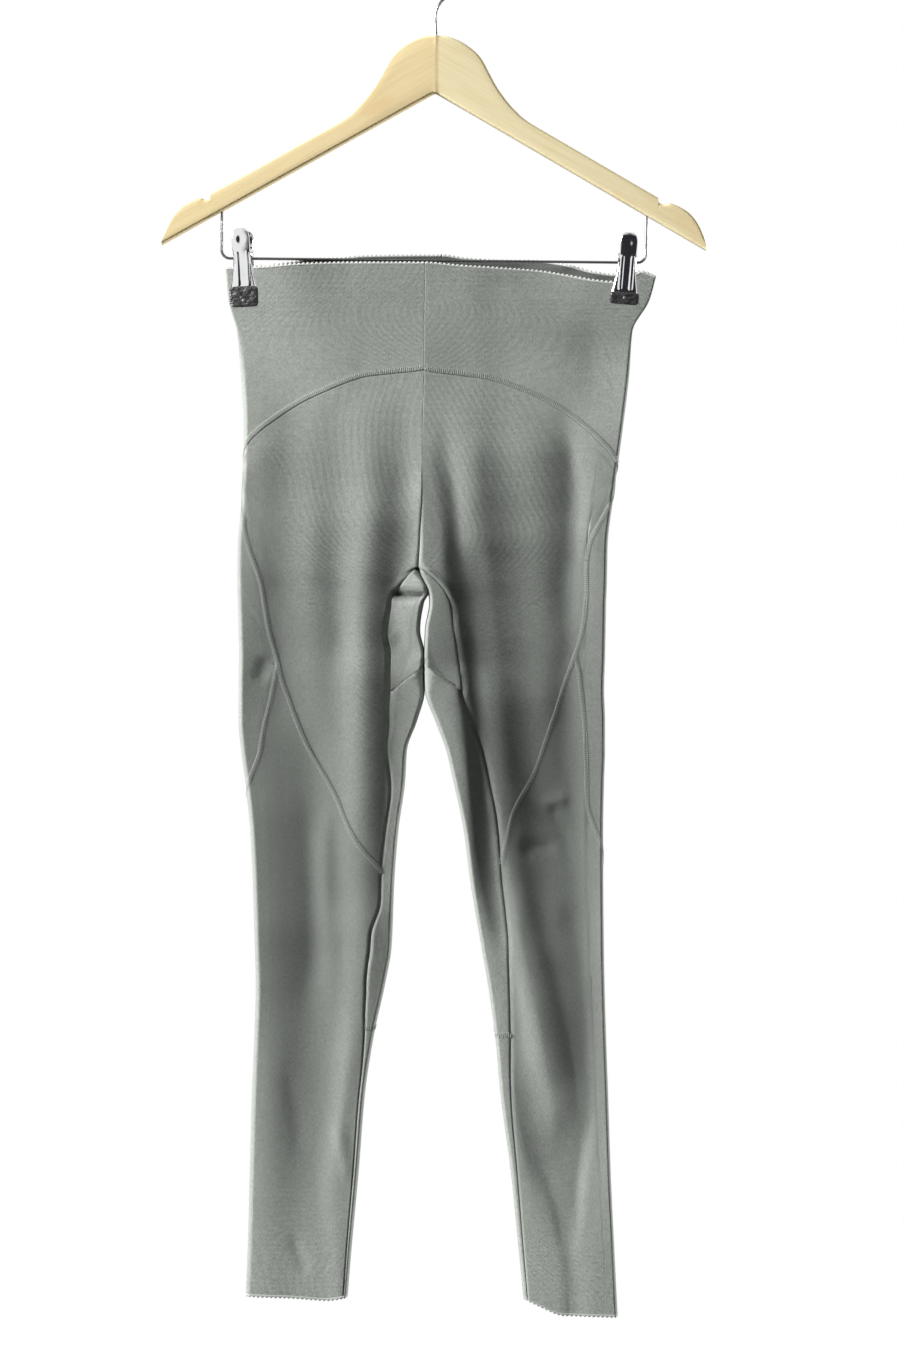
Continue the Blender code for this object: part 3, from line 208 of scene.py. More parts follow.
RIGHT_FRONT = {
    "inner edge": table(
        At, (286, -14, 0.06), (345, -14, 0.05), (384, -14, -0.03), (449, -10, -0.05), (482, -7, -0.08),
        (515, -5, -0.06), (531, -4, -0.12), (548, -3, -0.12), (564, -2.5, -0.13), (580, -2, -0.14),
        (597, -2.5, -0.06), (613, 3, 0.1), (630, 9, 0.13), (662, 15.5, 0.1), (695, 17.5, 0.12),
        (728, 22, 0.08), (760, 27, 0.08), (793, 31, 0.1), (826, 37, 0.12), (900, 45, 0.16),
        (981, 55, 0.18), (1063, 62, 0.28)),
    "inner": table(
        At, (286, -6, 0.06), (345, -6, 0.05), (384, -6, -0.03), (417, -9, -0.03), (449, -2, -0.1),
        (482, 2, -0.12), (499, 2.5, -0.14), (515, 4, -0.1), (531, 6.4, -0.18), (548, 10.5, -0.22),
        (564, 13.3, -0.24), (580, 13.8, -0.22), (597, 16.6, -0.12), (630, 19.2, -0.13),
        (662, 22.5, -0.12), (695, 24.4, -0.12), (728, 27.6, -0.18), (760, 31.7, -0.18), (777, 35, -0.08),
        (826, 42, 0.15), (900, 52, 0.2), (981, 62, 0.22), (1063, 68, 0.3)),
    "lap": table(
        At, (286, 5, 0.06), (345, 3, 0.05), (384, 1, -0.03), (417, 1, -0.155), (441, 6.5, -0.27),
        (466, 9, -0.36), (482, 10, -0.45), (499, 9.2, -0.52), (515, 11.2, -0.6), (531, 12.7, -0.66),
        (548, 15.2, -0.66), (564, 16, -0.68), (580, 18.7, -0.68), (613, 22.4, -0.66), (630, 23.7, -0.64),
        (662, 26.2, -0.62), (695, 29.2, -0.56), (728, 31.7, -0.5), (760, 36.7, -0.4), (777, 40.5, -0.3),
        (793, 43, -0.2), (826, 50, 0.03), (859, 57, 0.02), (900, 61, -0.02), (940, 66, -0.14),
        (981, 74, -0.2), (1022, 86, 0.02), (1063, 96, 0.22)),
    "lap end": table(
        At, (286, 8, 0.06), (345, 6, 0.05), (384, 4, -0.03), (417, 4, -0.12), (441, 8.5, -0.26),
        (466, 11.5, -0.33), (482, 13, -0.4), (499, 15, -0.46), (515, 16, -0.52), (531, 19, -0.52),
        (564, 23.2, -0.56), (597, 26, -0.56), (630, 28.8, -0.54), (662, 32.2, -0.5), (695, 36, -0.46),
        (728, 39, -0.42), (744, 39.5, -0.38), (777, 42, -0.28), (793, 46, -0.18), (826, 53, 0.05),
        (859, 60, 0.05), (900, 64, 0), (940, 70, -0.1), (981, 78, -0.15), (1022, 89, 0.02),
        (1063, 98, 0.22)),
    "shelf": table(
        At, (286, 12, 0.06), (345, 11, 0.05), (384, 10, 0.03), (417, 15.5, 0.18), (441, 17.5, 0.25),
        (466, 20.5, 0.17), (482, 20.4, 0.13), (499, 23.5, -0.05), (515, 28.5, -0.13), (531, 32.5, -0.13),
        (580, 33.8, -0.09), (597, 36, 0.02), (646, 38.8, 0.08), (662, 39.8, 0.13), (679, 42.2, 0.15),
        (695, 42.8, 0.22), (711, 45.4, 0.14), (728, 46.3, 0.22), (744, 50, 0.34), (777, 57, 0.4),
        (793, 60, 0.42), (826, 66, 0.42), (859, 71, 0.4), (900, 77.5, 0.38), (924, 84, 0.28),
        (940, 89, 0.22), (981, 92, -0.03), (1022, 95, -0.08), (1063, 102, 0.12)),
    "shoulder": table(
        At, (286, 26, 0.06), (345, 26, 0.09), (384, 25, -0.04), (417, 27, 0.02), (441, 29, 0.02),
        (466, 33, -0.1), (499, 38, -0.12), (531, 40, -0.13), (564, 43, -0.15), (597, 45, -0.15),
        (630, 47, -0.14), (646, 49, -0.16), (679, 51, -0.12), (728, 55.5, -0.11), (744, 58, -0.11),
        (777, 66, -0.11), (809, 72, -0.16), (842, 79, -0.16), (875, 86, -0.21), (908, 92, -0.15),
        (924, 96, -0.12), (940, 99, -0.05), (981, 99, -0.05), (1022, 99.5, -0.09), (1063, 104, 0.08)),
    "second lap": table(
        At, (286, 40, 0.03), (345, 40, 0.06), (384, 40, -0.1), (417, 38, -0.17), (466, 43, -0.22),
        (490, 45, -0.25), (515, 46, -0.27), (548, 50, -0.28), (580, 54, -0.3), (613, 57, -0.34),
        (646, 59.5, -0.39), (679, 64.5, -0.4), (695, 69, -0.39), (728, 71, -0.43), (744, 72, -0.38),
        (777, 76, -0.4), (809, 84, -0.4), (842, 93, -0.41), (859, 97, -0.42), (900, 107, -0.41),
        (940, 113, -0.2), (981, 108, -0.02), (1022, 105, -0.09), (1063, 106, 0.02)),
    "front": table(
        At, (286, 70, 0.02), (320, 68, 0.1), (345, 66, 0.15), (384, 62, -0.01), (417, 65, 0.02),
        (466, 74, 0.01), (515, 76, -0.05), (564, 78.5, -0.085), (630, 81, -0.12), (662, 82, -0.12),
        (695, 92, -0.16), (728, 93, -0.16), (760, 94, -0.16), (793, 93, -0.17), (826, 100, -0.25),
        (859, 106, -0.26), (900, 112, -0.25), (940, 115.5, -0.12), (981, 113, -0.06),
        (1022, 109.5, -0.09), (1063, 109, 0.12)),
    "side trench": table(
        At, (286, 105, 0.03), (320, 105, 0.22), (345, 104, 0.27), (365, 100, 0.16), (384, 96.5, -0.06),
        (417, 104, -0.24), (490, 101.5, -0.2), (515, 98, -0.25), (540, 99, -0.28), (564, 101.5, -0.26),
        (597, 97, -0.27), (662, 97, -0.22), (695, 103, -0.14), (728, 102, -0.2), (760, 104, -0.16),
        (793, 104, -0.26), (826, 113, -0.205), (859, 114.5, -0.235), (900, 118, -0.19),
        (940, 120, -0.08), (981, 116, -0.05), (1022, 111.5, -0.07), (1063, 112, 0.2)),
    "side crest": table(
        At, (286, 140, 0.16), (351, 125, 0.26), (384, 116, 0.16), (417, 115, 0.27), (441, 118, 0.32),
        (466, 118.5, 0.37), (490, 119, 0.33), (540, 118.5, 0.245), (564, 118.5, 0.12), (597, 118.5, 0.1),
        (630, 119, 0.17), (662, 121, 0.17), (695, 119.5, 0.22), (728, 120, 0.2), (760, 120.5, 0.13),
        (793, 122, 0.15), (826, 124, 0.18), (859, 127, 0.12), (900, 128, 0.25), (940, 130, 0.23),
        (981, 123.5, 0.33), (1022, 118.6, 0.33), (1063, 118.6, 0.3)),
    "strip": table(
        At, (286, 152, 0.3), (351, 145, 0.24), (417, 133, 0.08), (597, 131.5, 0.09), (662, 131, 0.14),
        (760, 131, 0.27), (793, 131.5, 0.3), (826, 132, 0.22), (900, 134, 0.21), (940, 137, 0.18),
        (981, 133, 0.28), (1022, 131, 0.18), (1063, 131, 0.18)),
}
RIGHT_LEVELS = table(
    Level, (255, 3, 1.5), (286, 5, 9), (320, 8.5, 14.5), (351, 12, 19.5), (384, 17.5, 17.2),
    (417, 22, 17.2), (466, 25, 16.3), (515, 28.3, 10.8), (564, 31, 7), (597, 30.8, 6.6),
    (630, 29.8, 6.8), (695, 26, 7.2), (728, 23.2, 7.4), (760, 19.3, 7.6), (793, 15.3, 8.6),
    (826, 12, 9.4), (900, 9.7, 10), (981, 7.8, 10.8), (1063, 5.4, 13.6), (1115, 5.2, 14.2))
MAP_TOP = 240.0         # the fold lines are joined across the leg from this drop
MAP_BOTTOM = 1126.0     # down to this one
MAP_STEP = 2.0          # at drops this far apart
MAP_SIDE = 190.0        # and as far as this to the left and right of the hook
MAP_X = 0.8             # at places this far apart
MAP_LAST = 1.001        # keeps a place before the map's last row or column
OUTER_ROUND = {"left": 4.0, "right": 2.5}   # width over which the front curves round to the side fold
INNER_ROUND = 2.5       # and to the leg's inner edge
LEVEL_CALM = np.linspace(-45.0, 45.0, 7)   # the inner edge is taken over this reach where its level is set

# Seams, from the inner edge round the outer side, by where they cross each face.
Crossing = namedtuple("Crossing", "face x drop")
LEFT_YOKE = table(
    Crossing, ("front", -10.6, 343.5), ("front", -54, 349), ("front", -99, 365.5),
    ("front", -136, 388.5), ("front", -148.9, 399.5), ("back", -157.8, 417.6), ("back", -120, 428),
    ("back", -60, 412), ("back", -11, 398))
LEFT_DIAGONAL = table(
    Crossing, ("front", -44.2, 753), ("front", -68.7, 723), ("front", -93.3, 671),
    ("front", -123.5, 604), ("front", -134, 565), ("front", -140.7, 530), ("front", -144.5, 512),
    ("front", -151.4, 493), ("back", -160.5, 474))
LEFT_CALF = table(
    Crossing, ("front", -129.2, 584.5), ("front", -138.2, 625.4), ("front", -144.8, 659),
    ("back", -153, 700), ("back", -112, 760), ("back", -70, 826), ("back", -52, 880))
RIGHT_YOKE = table(
    Crossing, ("front", -10.6, 343.5), ("front", 35.2, 350.6), ("front", 79.3, 365.3),
    ("front", 108.8, 382.5), ("front", 135, 406), ("back", 147.5, 426.6), ("back", 110, 436),
    ("back", 50, 414), ("back", -11, 398))
RIGHT_DIAGONAL = table(
    Crossing, ("front", 49.9, 745.7), ("front", 62.2, 704), ("front", 82.6, 664.7), ("front", 97.3, 622),
    ("front", 112.5, 577), ("front", 119, 554), ("front", 121.8, 530), ("front", 122.3, 497),
    ("front", 127, 479), ("back", 140, 462))
RIGHT_CALF = table(
    Crossing, ("front", 113, 577), ("front", 117.8, 605), ("front", 123, 700), ("back", 135.4, 743),
    ("back", 108, 790), ("back", 72, 840), ("back", 46, 886))

# The inseam lies in front of the leg's inner edge. The gusset is between its two offsets from it.
Inseam = namedtuple("Inseam", "drop left right gusset_back")
INSEAMS = table(
    Inseam, (505.2, 0, 0, 0), (512.5, 12, 8, -0.03), (519, 20, 11.5, -0.05), (526, 27, 14, -0.06),
    (540, 25, 19, -0.07), (572, 27, 26.5, -0.04), (607, 27.5, 30, 1), (646, 17, 30, 1), (700, 9, 29, 1),
    (753, 10, 26, 1), (777, 9.5, 25, 1), (806, 16.5, 23, 1), (826, 16.5, 20, 1), (859, 12, 15.5, 1),
    (890, 6.2, 12, 1), (924, 3.8, 9, 1), (1000, 3.4, 5, 1), (1115, 2.6, 3, 1))

# ---------------------------------------------------------------- cloth detail
FRONT_COLUMNS = 130
BACK_COLUMNS = 110
COLUMN_EVEN = 0.45      # share by which columns are even around the leg rather than across its width
COLUMN_HALVINGS = 30    # steps by which the column of a place is closed in on
ROW_STEP = 4.6
SEAM_ROWS = [0.0, 0.45, 1.0, 1.7, 2.6, 3.6, 4.6, 6.0]   # rows this near a seam
TIP_HEIGHT = 0.8        # least height of a piece where two seams meet
GROOVE_DEPTH = 0.28     # a plain seam's groove
GROOVE_WIDTH = 0.5
BAND_RISE = 0.14        # how far a stitched seam stands above the cloth
BAND_WIDTH = 4.4
BAND_FALL = 0.9         # width over which that rise falls away
BAND_START = 0.6        # width over which it starts
BAND_LEAD = 0.25        # and how far beyond the seam it does
SIDE_GROOVE = 0.25      # a piece's other two edges have this share of a groove
SCALLOP_PITCH = 3.6
SCALLOP_STEPS = 8       # rings of a scalloped edge to each scallop
SCALLOP_ROOT = 0.1      # height between two scallops
SCALLOP_HEIGHT = 1.4    # and what a scallop adds to it
SCALLOP_WALL = 1.04     # its thickness, in the cloth's
SCALLOP_SECTION = [     # height in scallops, or in millimetres below the edge, and share of the thickness
    (-1.2, 0.52), (0.0, 0.50), (0.75, 0.40), (1.0, 0.0), (0.75, -0.40), (0.0, -0.50), (-1.2, -0.52),
]
THREAD_SPANS = 6        # rings of a thread, each of the section's points
THREAD_SECTION = [(1.0, 0.0), (0.55, 0.8), (-0.55, 0.8), (-1.0, 0.0)]
THREAD_LEAN = 0.35      # how far a thread leans along its seam
THREAD_INSET = 0.5      # threads stop short of a seam's full width
THREAD_DIVE = 2.2       # how far their ends dip, in halves of a seam's rise
LINE_STEPS = 900        # places at which a seam is measured to space things along it
TURN_STEP = 0.002       # steps around and down over which the cloth's directions are taken
FALL_STEP = 0.4
LOOPS_ACROSS = 6600.0   # the knit's ribs and rows, in radians to the metre
LOOPS_ALONG = 9000.0
LOOPS_SWAY = 7400.0

# ---------------------------------------------------------------- hanger sizes
HANGER_TILT = math.radians(0.6)
ARM_SLOPE = math.radians(29.5)   # the grain runs along an arm
APEX = 70.0             # drop of the wood's top
WOOD_THICK = 12.0
WOOD_ROUND = 2.2
WOOD_LEAST = 0.8        # height left at the wood's end
WOOD_STEP = 3.0         # spacing of the sections along an arm's straight part
BORE_GAP = 0.3          # room round a wire in its hole
BORE_LEAD = 5.0         # the hook's drill starts this far outside the wood
BAR_LEAD = 6.0          # and the crossbar's this far
HOOK_WIRE = 1.2         # radii of the two wires
BAR_WIRE = 1.1
WIRE_TIP = 0.45         # height of a wire's pointed end, in its radii
HOOK_RADIUS = 18.5      # inside the bend
HOOK_START = -50.0      # the bend's ends, degrees up from +X
HOOK_END = 205.0
HOOK_STEPS = 64
HOOK_DEPTH = 28.0       # length of hook inside the wood
SHANK = [               # x and height of the hook's wire below its bend
    (0.0, -97.0), (0.0, -70.0), (-0.2, -61.0), (-0.5, -55.0), (0.0, -50.5), (1.7, -45.6), (4.6, -41.1),
    (8.4, -37.2),
]
BAR_DROP = 253.6
BAR_HALF = 173.5
BAR_BEND = 7.0
BAR_STEPS = 14
BAR_DEPTH = 11.0        # length of each end inside the wood

Outline = namedtuple("Outline", "x drop")
DOME = table(
    Outline, (0, 0), (9, 0.9), (17, 3.4), (25.5, 8), (33, 14), (38.5, 20.5), (44.5, 31.5), (51, 43),
    (59.5, 54.5), (68, 63.5), (74, 68.5), (82, 73.6))
NOTCH = Outline(187.0, 132.2)
NOTCH_RADIUS = 4.1
NOTCH_START = 0.07      # the notch's ends, as shares of a half turn
NOTCH_END = 0.93
NOTCH_STEPS = 14
SHOULDER_TIP = table(
    Outline, (193.5, 135.2), (201, 138.3), (208, 142.8), (213.5, 148.6), (218, 156), (221.3, 164.5),
    (222.5, 171), (221, 172.2))
UNDERSIDE = Outline(0.0, 46.6)

Clip = namedtuple("Clip", "name x lean turn cap_top cap_bottom")
CLIPS = [
    Clip("left", -158.3, math.radians(-2.2), math.radians(-8.0), -22.0, -39.0),
    Clip("right", 155.4, math.radians(4.6), 0.0, -23.6, -33.6),
]
CLIP_SAG = 1.1          # a clip's ears hang this far below the crossbar's middle
Jaw = namedtuple("Jaw", "height half_width depth")
JAW = table(
    Jaw, (24.5, 2.2, 9), (23.6, 4.2, 9.2), (21.4, 6.4, 9.5), (17, 7.4, 9.5), (10, 7.3, 8.2), (4, 7.2, 6),
    (-2, 7.4, 5.3), (-10, 8.2, 5), (-18, 9.6, 4.4), (-23, 10.4, 4), (-31, 10.4, 4))
JAW_ROWS, JAW_COLUMNS = 96, 44
JAW_WALL = 0.8
JAW_CROWN = 0.3         # how much further out its middle is than its edges
TURNED_EDGE = 0.86      # share of the half width where its edges start to turn back
TURNED_TOP = 0.4        # how far they turn back at the top
TURNED_MORE = 0.8       # and how much further lower down
TURNED_HEIGHT = 10.0    # from this height down, growing over this reach
TURNED_REACH = 8.0
DISH_DEPTH = 0.5        # thumb dish near the top of a jaw
DISH_HEIGHT = 16.0
DISH_HALF = (4.6, 5.4)
RIB_HEIGHT = 0.5
RIB_HALF = 0.9          # half width of a rib's crown, and width of its flank
RIB_X = 4.3
RIB_MIDDLE = -8.0
RIB_HALF_LENGTH = 12.5
EAR_STEPS = 36
EAR_RADIUS = 4.2
EAR_ROOT = 6.0          # an ear reaches this far towards its own plate
EAR_HOLE = 3.0
EAR_WALL = 0.8
FRONT_EAR_X = 6.4
BACK_EAR_X = 5.2
CAP_ROWS, CAP_COLUMNS = 30, 44
CAP_HALF = 11.8
CAP_FRONT = 6.0
CAP_CLOTH = 1.65
CAP_END = 1e-3          # least share of a cap's width at its two ends, before they are squared
CAP_PUCKER = 0.35
CAP_MERGE = 1e-6        # metres
RIVET_RADIUS = 1.35
RIVET_DOME = 0.45       # its height, in its radii
RIVET_LIFT = 5.2        # above the cap's lower end
RIVET_SINK = 0.15
SPRING_HALF = 4.1
SPRING_TURNS = 5
SPRING_STEPS = 22       # to a turn
SPRING_START = -2.2     # the angle at which the wire starts, in radians
SPRING_RADIUS = 3.5
SPRING_WIRE = 0.6
GRIP_HALF_WIDTH = 22.0  # a clip holds front and back together within this half width and height
GRIP_HEIGHT = 42.0
GRIP_FREE_WIDTH = 90.0  # and they are free beyond this one
GRIP_FREE_HEIGHT = 125.0

# ---------------------------------------------------------------- studio sizes, in metres
CENTRE = (0.0123, 0.0, -0.595)   # where the camera and the lights are aimed
SENSOR = 36.0           # millimetres
KEY_PLACE, KEY_SIZE = (-4.6, -1.55, 1.7), (2.2, 2.2)
RIM_PLACE, RIM_SIZE = (3.53, 1.88, -0.2), (0.6, 3.6)
FLOOR_HEIGHT = -2.6


# ---------------------------------------------------------------- settings a user would change
def metres(name, description, default):
    return FloatProperty(name=name, description=description, default=default, unit="LENGTH")


def watts(name, description, default):
    return FloatProperty(name=name, description=description, default=default, unit="POWER")


def tint(name, description, default):
    return FloatVectorProperty(name=name, description=description, default=default, subtype="COLOR")


class KnitSettings(bpy.types.PropertyGroup):
    """The knitted cloth and its sewing."""

    wall: metres("Cloth thickness", "Thickness of the knit", 0.0011)
    crease: FloatProperty(
        name="Crease strength", description="How strongly the folds show", default=1.0, subtype="FACTOR")
    colour: tint("Yarn", "Colour of the knit", (0.262, 0.281, 0.258))
    edge_colour: tint("Cut edge", "Colour of the scalloped waist edge", (0.56, 0.58, 0.55))
    thread_colour: tint("Thread", "Colour of the seam threads", (0.40, 0.425, 0.395))
    stitch_pitch: metres("Stitch pitch", "Distance between threads", 0.00155)
    thread: metres("Thread thickness", "Diameter of a thread", 0.0005)


class HangerSettings(bpy.types.PropertyGroup):
    """The hanger and its clips."""

    left_wood: tint("Left arm", "Colour of the left arm", (0.745, 0.61, 0.345))
    right_wood: tint("Right arm", "Colour of the right arm", (0.765, 0.67, 0.42))
    metal: tint("Plating", "Colour of wire and clips", (0.74, 0.74, 0.75))
    rubber: tint("Rubber", "Colour of the caps", (0.018, 0.017, 0.017))


class StudioSettings(bpy.types.PropertyGroup):
    """Camera, lights and floor."""

    distance: metres("Camera distance", "From the lens to the hanger", 3.0)
    field: metres("View height", "Height seen at the hanger", 1.109)
    key: watts("Key light", "Power of the large light at the left", 920.0)
    rim: watts("Rim light", "Power of the light behind at the right", 260.0)
    floor_colour: tint("Floor", "Colour of the floor", (0.72, 0.72, 0.71))


# ---------------------------------------------------------------- shader maths
class Socket:
    """An output of a shader node, with arithmetic that adds Math nodes."""

    def __init__(self, graph, socket):
        self.graph = graph
        self.socket = socket

    def math(self, operation, *values):
        inputs = dict(enumerate(values))
        return self.graph.add("ShaderNodeMath", {"operation": operation}, inputs)

    def __add__(self, other):
        return self.math("ADD", self, other)

    def __radd__(self, other):
        return self.math("ADD", other, self)

    def __sub__(self, other):
        return self.math("SUBTRACT", self, other)

    def __rsub__(self, other):
        return self.math("SUBTRACT", other, self)

    def __mul__(self, other):
        return self.math("MULTIPLY", self, other)

    def __rmul__(self, other):
        return self.math("MULTIPLY", other, self)

    def __truediv__(self, other):
        return self.math("DIVIDE", self, other)

    def __pow__(self, other):
        return self.math("POWER", self, other)

    def __abs__(self):
        return self.math("ABSOLUTE", self)

    def sine(self):
        return self.math("SINE", self)

    def clamped(self, low, high):
        limits = {"Value": self, "From Min": low, "From Max": high, "To Min": 0.0, "To Max": 1.0}
        return self.graph.add("ShaderNodeMapRange", {"interpolation_type": "SMOOTHSTEP"}, limits)


class Graph:
    """A node material being written."""

    def __init__(self, tree):
        self.tree = tree

    def add(self, kind, settings=None, inputs=None, output=0):
        """A node of a kind: its settings first, then values or links for its sockets."""
        node = self.tree.nodes.new(kind)
        for name, value in (settings or {}).items():
            if name == "stops":
                ramp = node.color_ramp
                while len(ramp.elements) < len(value):
                    ramp.elements.new(0.5)
                for element, (place, colour) in zip(ramp.elements, value):
                    element.position = place
                    element.color = (*colour, 1.0)
            else:
                setattr(node, name, value)
        for name, value in (inputs or {}).items():
            if isinstance(value, Socket):
                self.tree.links.new(value.socket, node.inputs[name])
            else:
                node.inputs[name].default_value = value
        return Socket(self, node.outputs[output])

    def mix(self, factor, first, second, blend="MIX"):
        """Mix of two colours."""
        first = first if isinstance(first, Socket) else (*first, 1.0)
        second = second if isinstance(second, Socket) else (*second, 1.0)
        settings = {"data_type": "RGBA", "blend_type": blend}
        return self.add("ShaderNodeMix", settings, {0: factor, 6: first, 7: second}, 2)

    def noise(self, place, scale, detail, roughness=0.5):
        inputs = {"Vector": place, "Scale": scale, "Detail": detail, "Roughness": roughness}
        return self.add("ShaderNodeTexNoise", None, inputs)

    def stretched(self, place, scale):
        """Coordinates scaled along each axis."""
        return self.add("ShaderNodeMapping", None, {"Vector": place, "Scale": scale})

    def turned(self, place, angle):
        """Coordinates turned about Y."""
        inputs = {"Vector": place, "Angle": angle}
        return self.add("ShaderNodeVectorRotate", {"rotation_type": "Y_AXIS"}, inputs)

    def parts(self, vector):
        """The three parts of a vector."""
        first = self.add("ShaderNodeSeparateXYZ", None, {0: vector})
        return [first] + [Socket(self, first.socket.node.outputs[k]) for k in (1, 2)]


class Finish(Graph):
    """A Principled material being written."""

    def __init__(self, name, **constants):
        self.material = bpy.data.materials.new(name)
        self.material.use_nodes = True
        super().__init__(self.material.node_tree)
        self.shader = self.tree.nodes["Principled BSDF"]
        for key, value in constants.items():
            self.shader.inputs[key.replace("_", " ")].default_value = value

    def place(self):
        return self.add("ShaderNodeTexCoord", None, None, 3)

    def drive(self, name, value):
        self.tree.links.new(value.socket, self.shader.inputs[name])

    def bump(self, height, distance, strength=1.0):
        inputs = {"Height": height, "Distance": distance, "Strength": strength}
        self.drive("Normal", self.add("ShaderNodeBump", None, inputs))


def shade(colour, factors):
    """A colour with its channels scaled, all alike or each by its own factor."""
    return tuple(np.multiply(colour, factors))


def knit_finish(name, colour):
    """Heathered stretch knit: fine ribs of loops, flecks of light and dark yarn, a faint bloom of fuzz, and
    painted shade that darkens its inner face.
    """
    finish = Finish(name, Sheen_Weight=0.06, Sheen_Roughness=0.45, Specular_IOR_Level=0.12)
    finish.shader.inputs["Sheen Tint"].default_value = (0.95, 1.0, 0.96, 1.0)
    cloth = finish.add("ShaderNodeAttribute", {"attribute_name": "knit"}, None, 1)
    across, along, side = finish.parts(cloth)
    # Painted shade: the inner face, marked by its raised third coordinate, is darkened towards three tenths
    # of the yarn's colour, standing in for the shade inside the garment.
    inner_face_painted_shade = side.clamped(0.2, 0.3)
    flecks = finish.noise(finish.stretched(cloth, (900.0, 420.0, 1.0)), 1.0, 3.0, 0.65)
    mottle = finish.noise(finish.stretched(cloth, (210.0, 150.0, 1.0)), 1.0, 2.0, 0.6)
    cloud = finish.noise(finish.place(), 9.0, 2.0, 0.5)
    tone = (flecks - 0.5) * 1.9 + (mottle - 0.5) * 0.5 + 0.5
    yarn = finish.mix(tone, shade(colour, 0.72), shade(colour, 1.28))
    warm = finish.mix(0.10, yarn, (0.62, 0.60, 0.55), "SOFT_LIGHT")
    face = finish.mix((cloud - 0.35) * 1.1, yarn, warm)
    finish.drive("Base Color", finish.mix(inner_face_painted_shade * 0.85, face, shade(colour, 0.3)))
    finish.drive("Roughness", 0.78 + flecks * 0.2)
    loops = (across * LOOPS_ACROSS + (along * LOOPS_SWAY).sine() * 0.6).sine()
    rows = (along * LOOPS_ALONG).sine()
    finish.bump(loops * 0.5 + rows * 0.25 + flecks * 1.3 + mottle * 1.1, 0.00016, 0.9)
    return finish.material


def thread_finish(name, colour):
    """Twisted seam thread."""
    finish = Finish(name, Sheen_Weight=0.2, Specular_IOR_Level=0.3)
    twist = finish.noise(finish.place(), 1400.0, 2.0)
    cloud = finish.noise(finish.place(), 60.0, 1.0)
    tone = twist * 0.7 + cloud * 0.3
    finish.drive("Base Color", finish.mix(tone, shade(colour, 0.72), shade(colour, 1.16)))
    finish.drive("Roughness", 0.6 + twist * 0.25)
    finish.bump(twist, 0.0001)
    return finish.material


def wood_finish(name, colour, side):
    """Pale varnished hardwood: grain along the arm, short flecks, and a darker glue joint."""
    finish = Finish(name, Coat_Weight=0.25, Coat_Roughness=0.22, Specular_IOR_Level=0.4)
    place = finish.place()
    along = finish.turned(place, -side * ARM_SLOPE)
    bend = finish.noise(place, 7.0, 1.0)
    grain = finish.noise(finish.stretched(along, (16.0, 190.0, 430.0)), 1.0, 4.0, 0.6)
    fleck = finish.noise(finish.stretched(along, (130.0, 500.0, 1500.0)), 1.0, 2.0, 0.5)
    figure = finish.noise(finish.stretched(along, (14.0, 30.0, 46.0)), 1.0, 2.0, 0.55)
    joint = 1.0 - abs(finish.parts(place)[0]).clamped(0.0002, 0.0022)
    dark, tan = shade(colour, (0.86, 0.78, 0.66)), shade(colour, (0.97, 0.82, 0.70))
    base = finish.mix((grain - 0.42) * 1.5, shade(colour, 1.05), dark)
    base = finish.mix((figure - 0.52).clamped(0.0, 0.22) * 0.55, base, tan)
    base = finish.mix((fleck - 0.60).clamped(0.0, 0.16) * 0.35, base, dark)
    base = finish.mix(joint * 0.45, base, shade(colour, (0.62, 0.45, 0.30)))
    finish.drive("Base Color", base)
    finish.drive("Roughness", 0.38 + grain * 0.16 + bend * 0.06)
    finish.bump(grain * 0.6 + fleck * 0.4, 0.00012, 0.6)
    return finish.material


def plated_finish(name, colour, roughness):
    """Bright plating with faint handling marks."""
    finish = Finish(name, Metallic=1.0)
    place = finish.place()
    haze = finish.noise(place, 90.0, 3.0)
    scratch = finish.noise(finish.stretched(place, (3000.0, 900.0, 260.0)), 1.0, 3.0)
    finish.drive("Base Color", finish.mix((haze - 0.45) * 1.4, colour, shade(colour, 0.86)))
    finish.drive("Roughness", roughness + haze * 0.05 + (scratch - 0.5).clamped(0.0, 0.3) * 0.08)
    finish.bump(scratch, 0.00001, 0.5)
    return finish.material


def rubber_finish(name, colour):
    """Soft black rubber, a little shiny where it is rubbed."""
    finish = Finish(name, Specular_IOR_Level=0.45)
    place = finish.place()
    grain = finish.noise(place, 700.0, 3.0)
    worn = finish.noise(finish.stretched(place, (160.0, 120.0, 320.0)), 1.0, 2.0)
    grey = tuple(value * 3.2 + 0.01 for value in colour)
    finish.drive("Base Color", finish.mix((worn - 0.52).clamped(0.0, 0.2) * 0.5, colour, grey))
    finish.drive("Roughness", 0.2 + worn * 0.25 + grain * 0.1)
    finish.bump(worn * 2.0 + grain * 0.3, 0.0012, 0.9)
    return finish.material


# ---------------------------------------------------------------- reading the tables
def smooth(t):
    """Ease from 0 to 1."""
    t = np.clip(t, 0.0, 1.0)
    return t * t * (3.0 - 2.0 * t)


def quarter(t):
    """Quarter of a circle from 0 to 1."""
    return np.sqrt(np.maximum(0.0, 1.0 - (1.0 - np.clip(t, 0.0, 1.0)) ** 2))


def read(rows, key, column, at):
    """Values of a column at places between the rows."""
    keys = np.array([getattr(row, key) for row in rows], float)
    return through(keys, np.array([getattr(row, column) for row in rows], float), at)


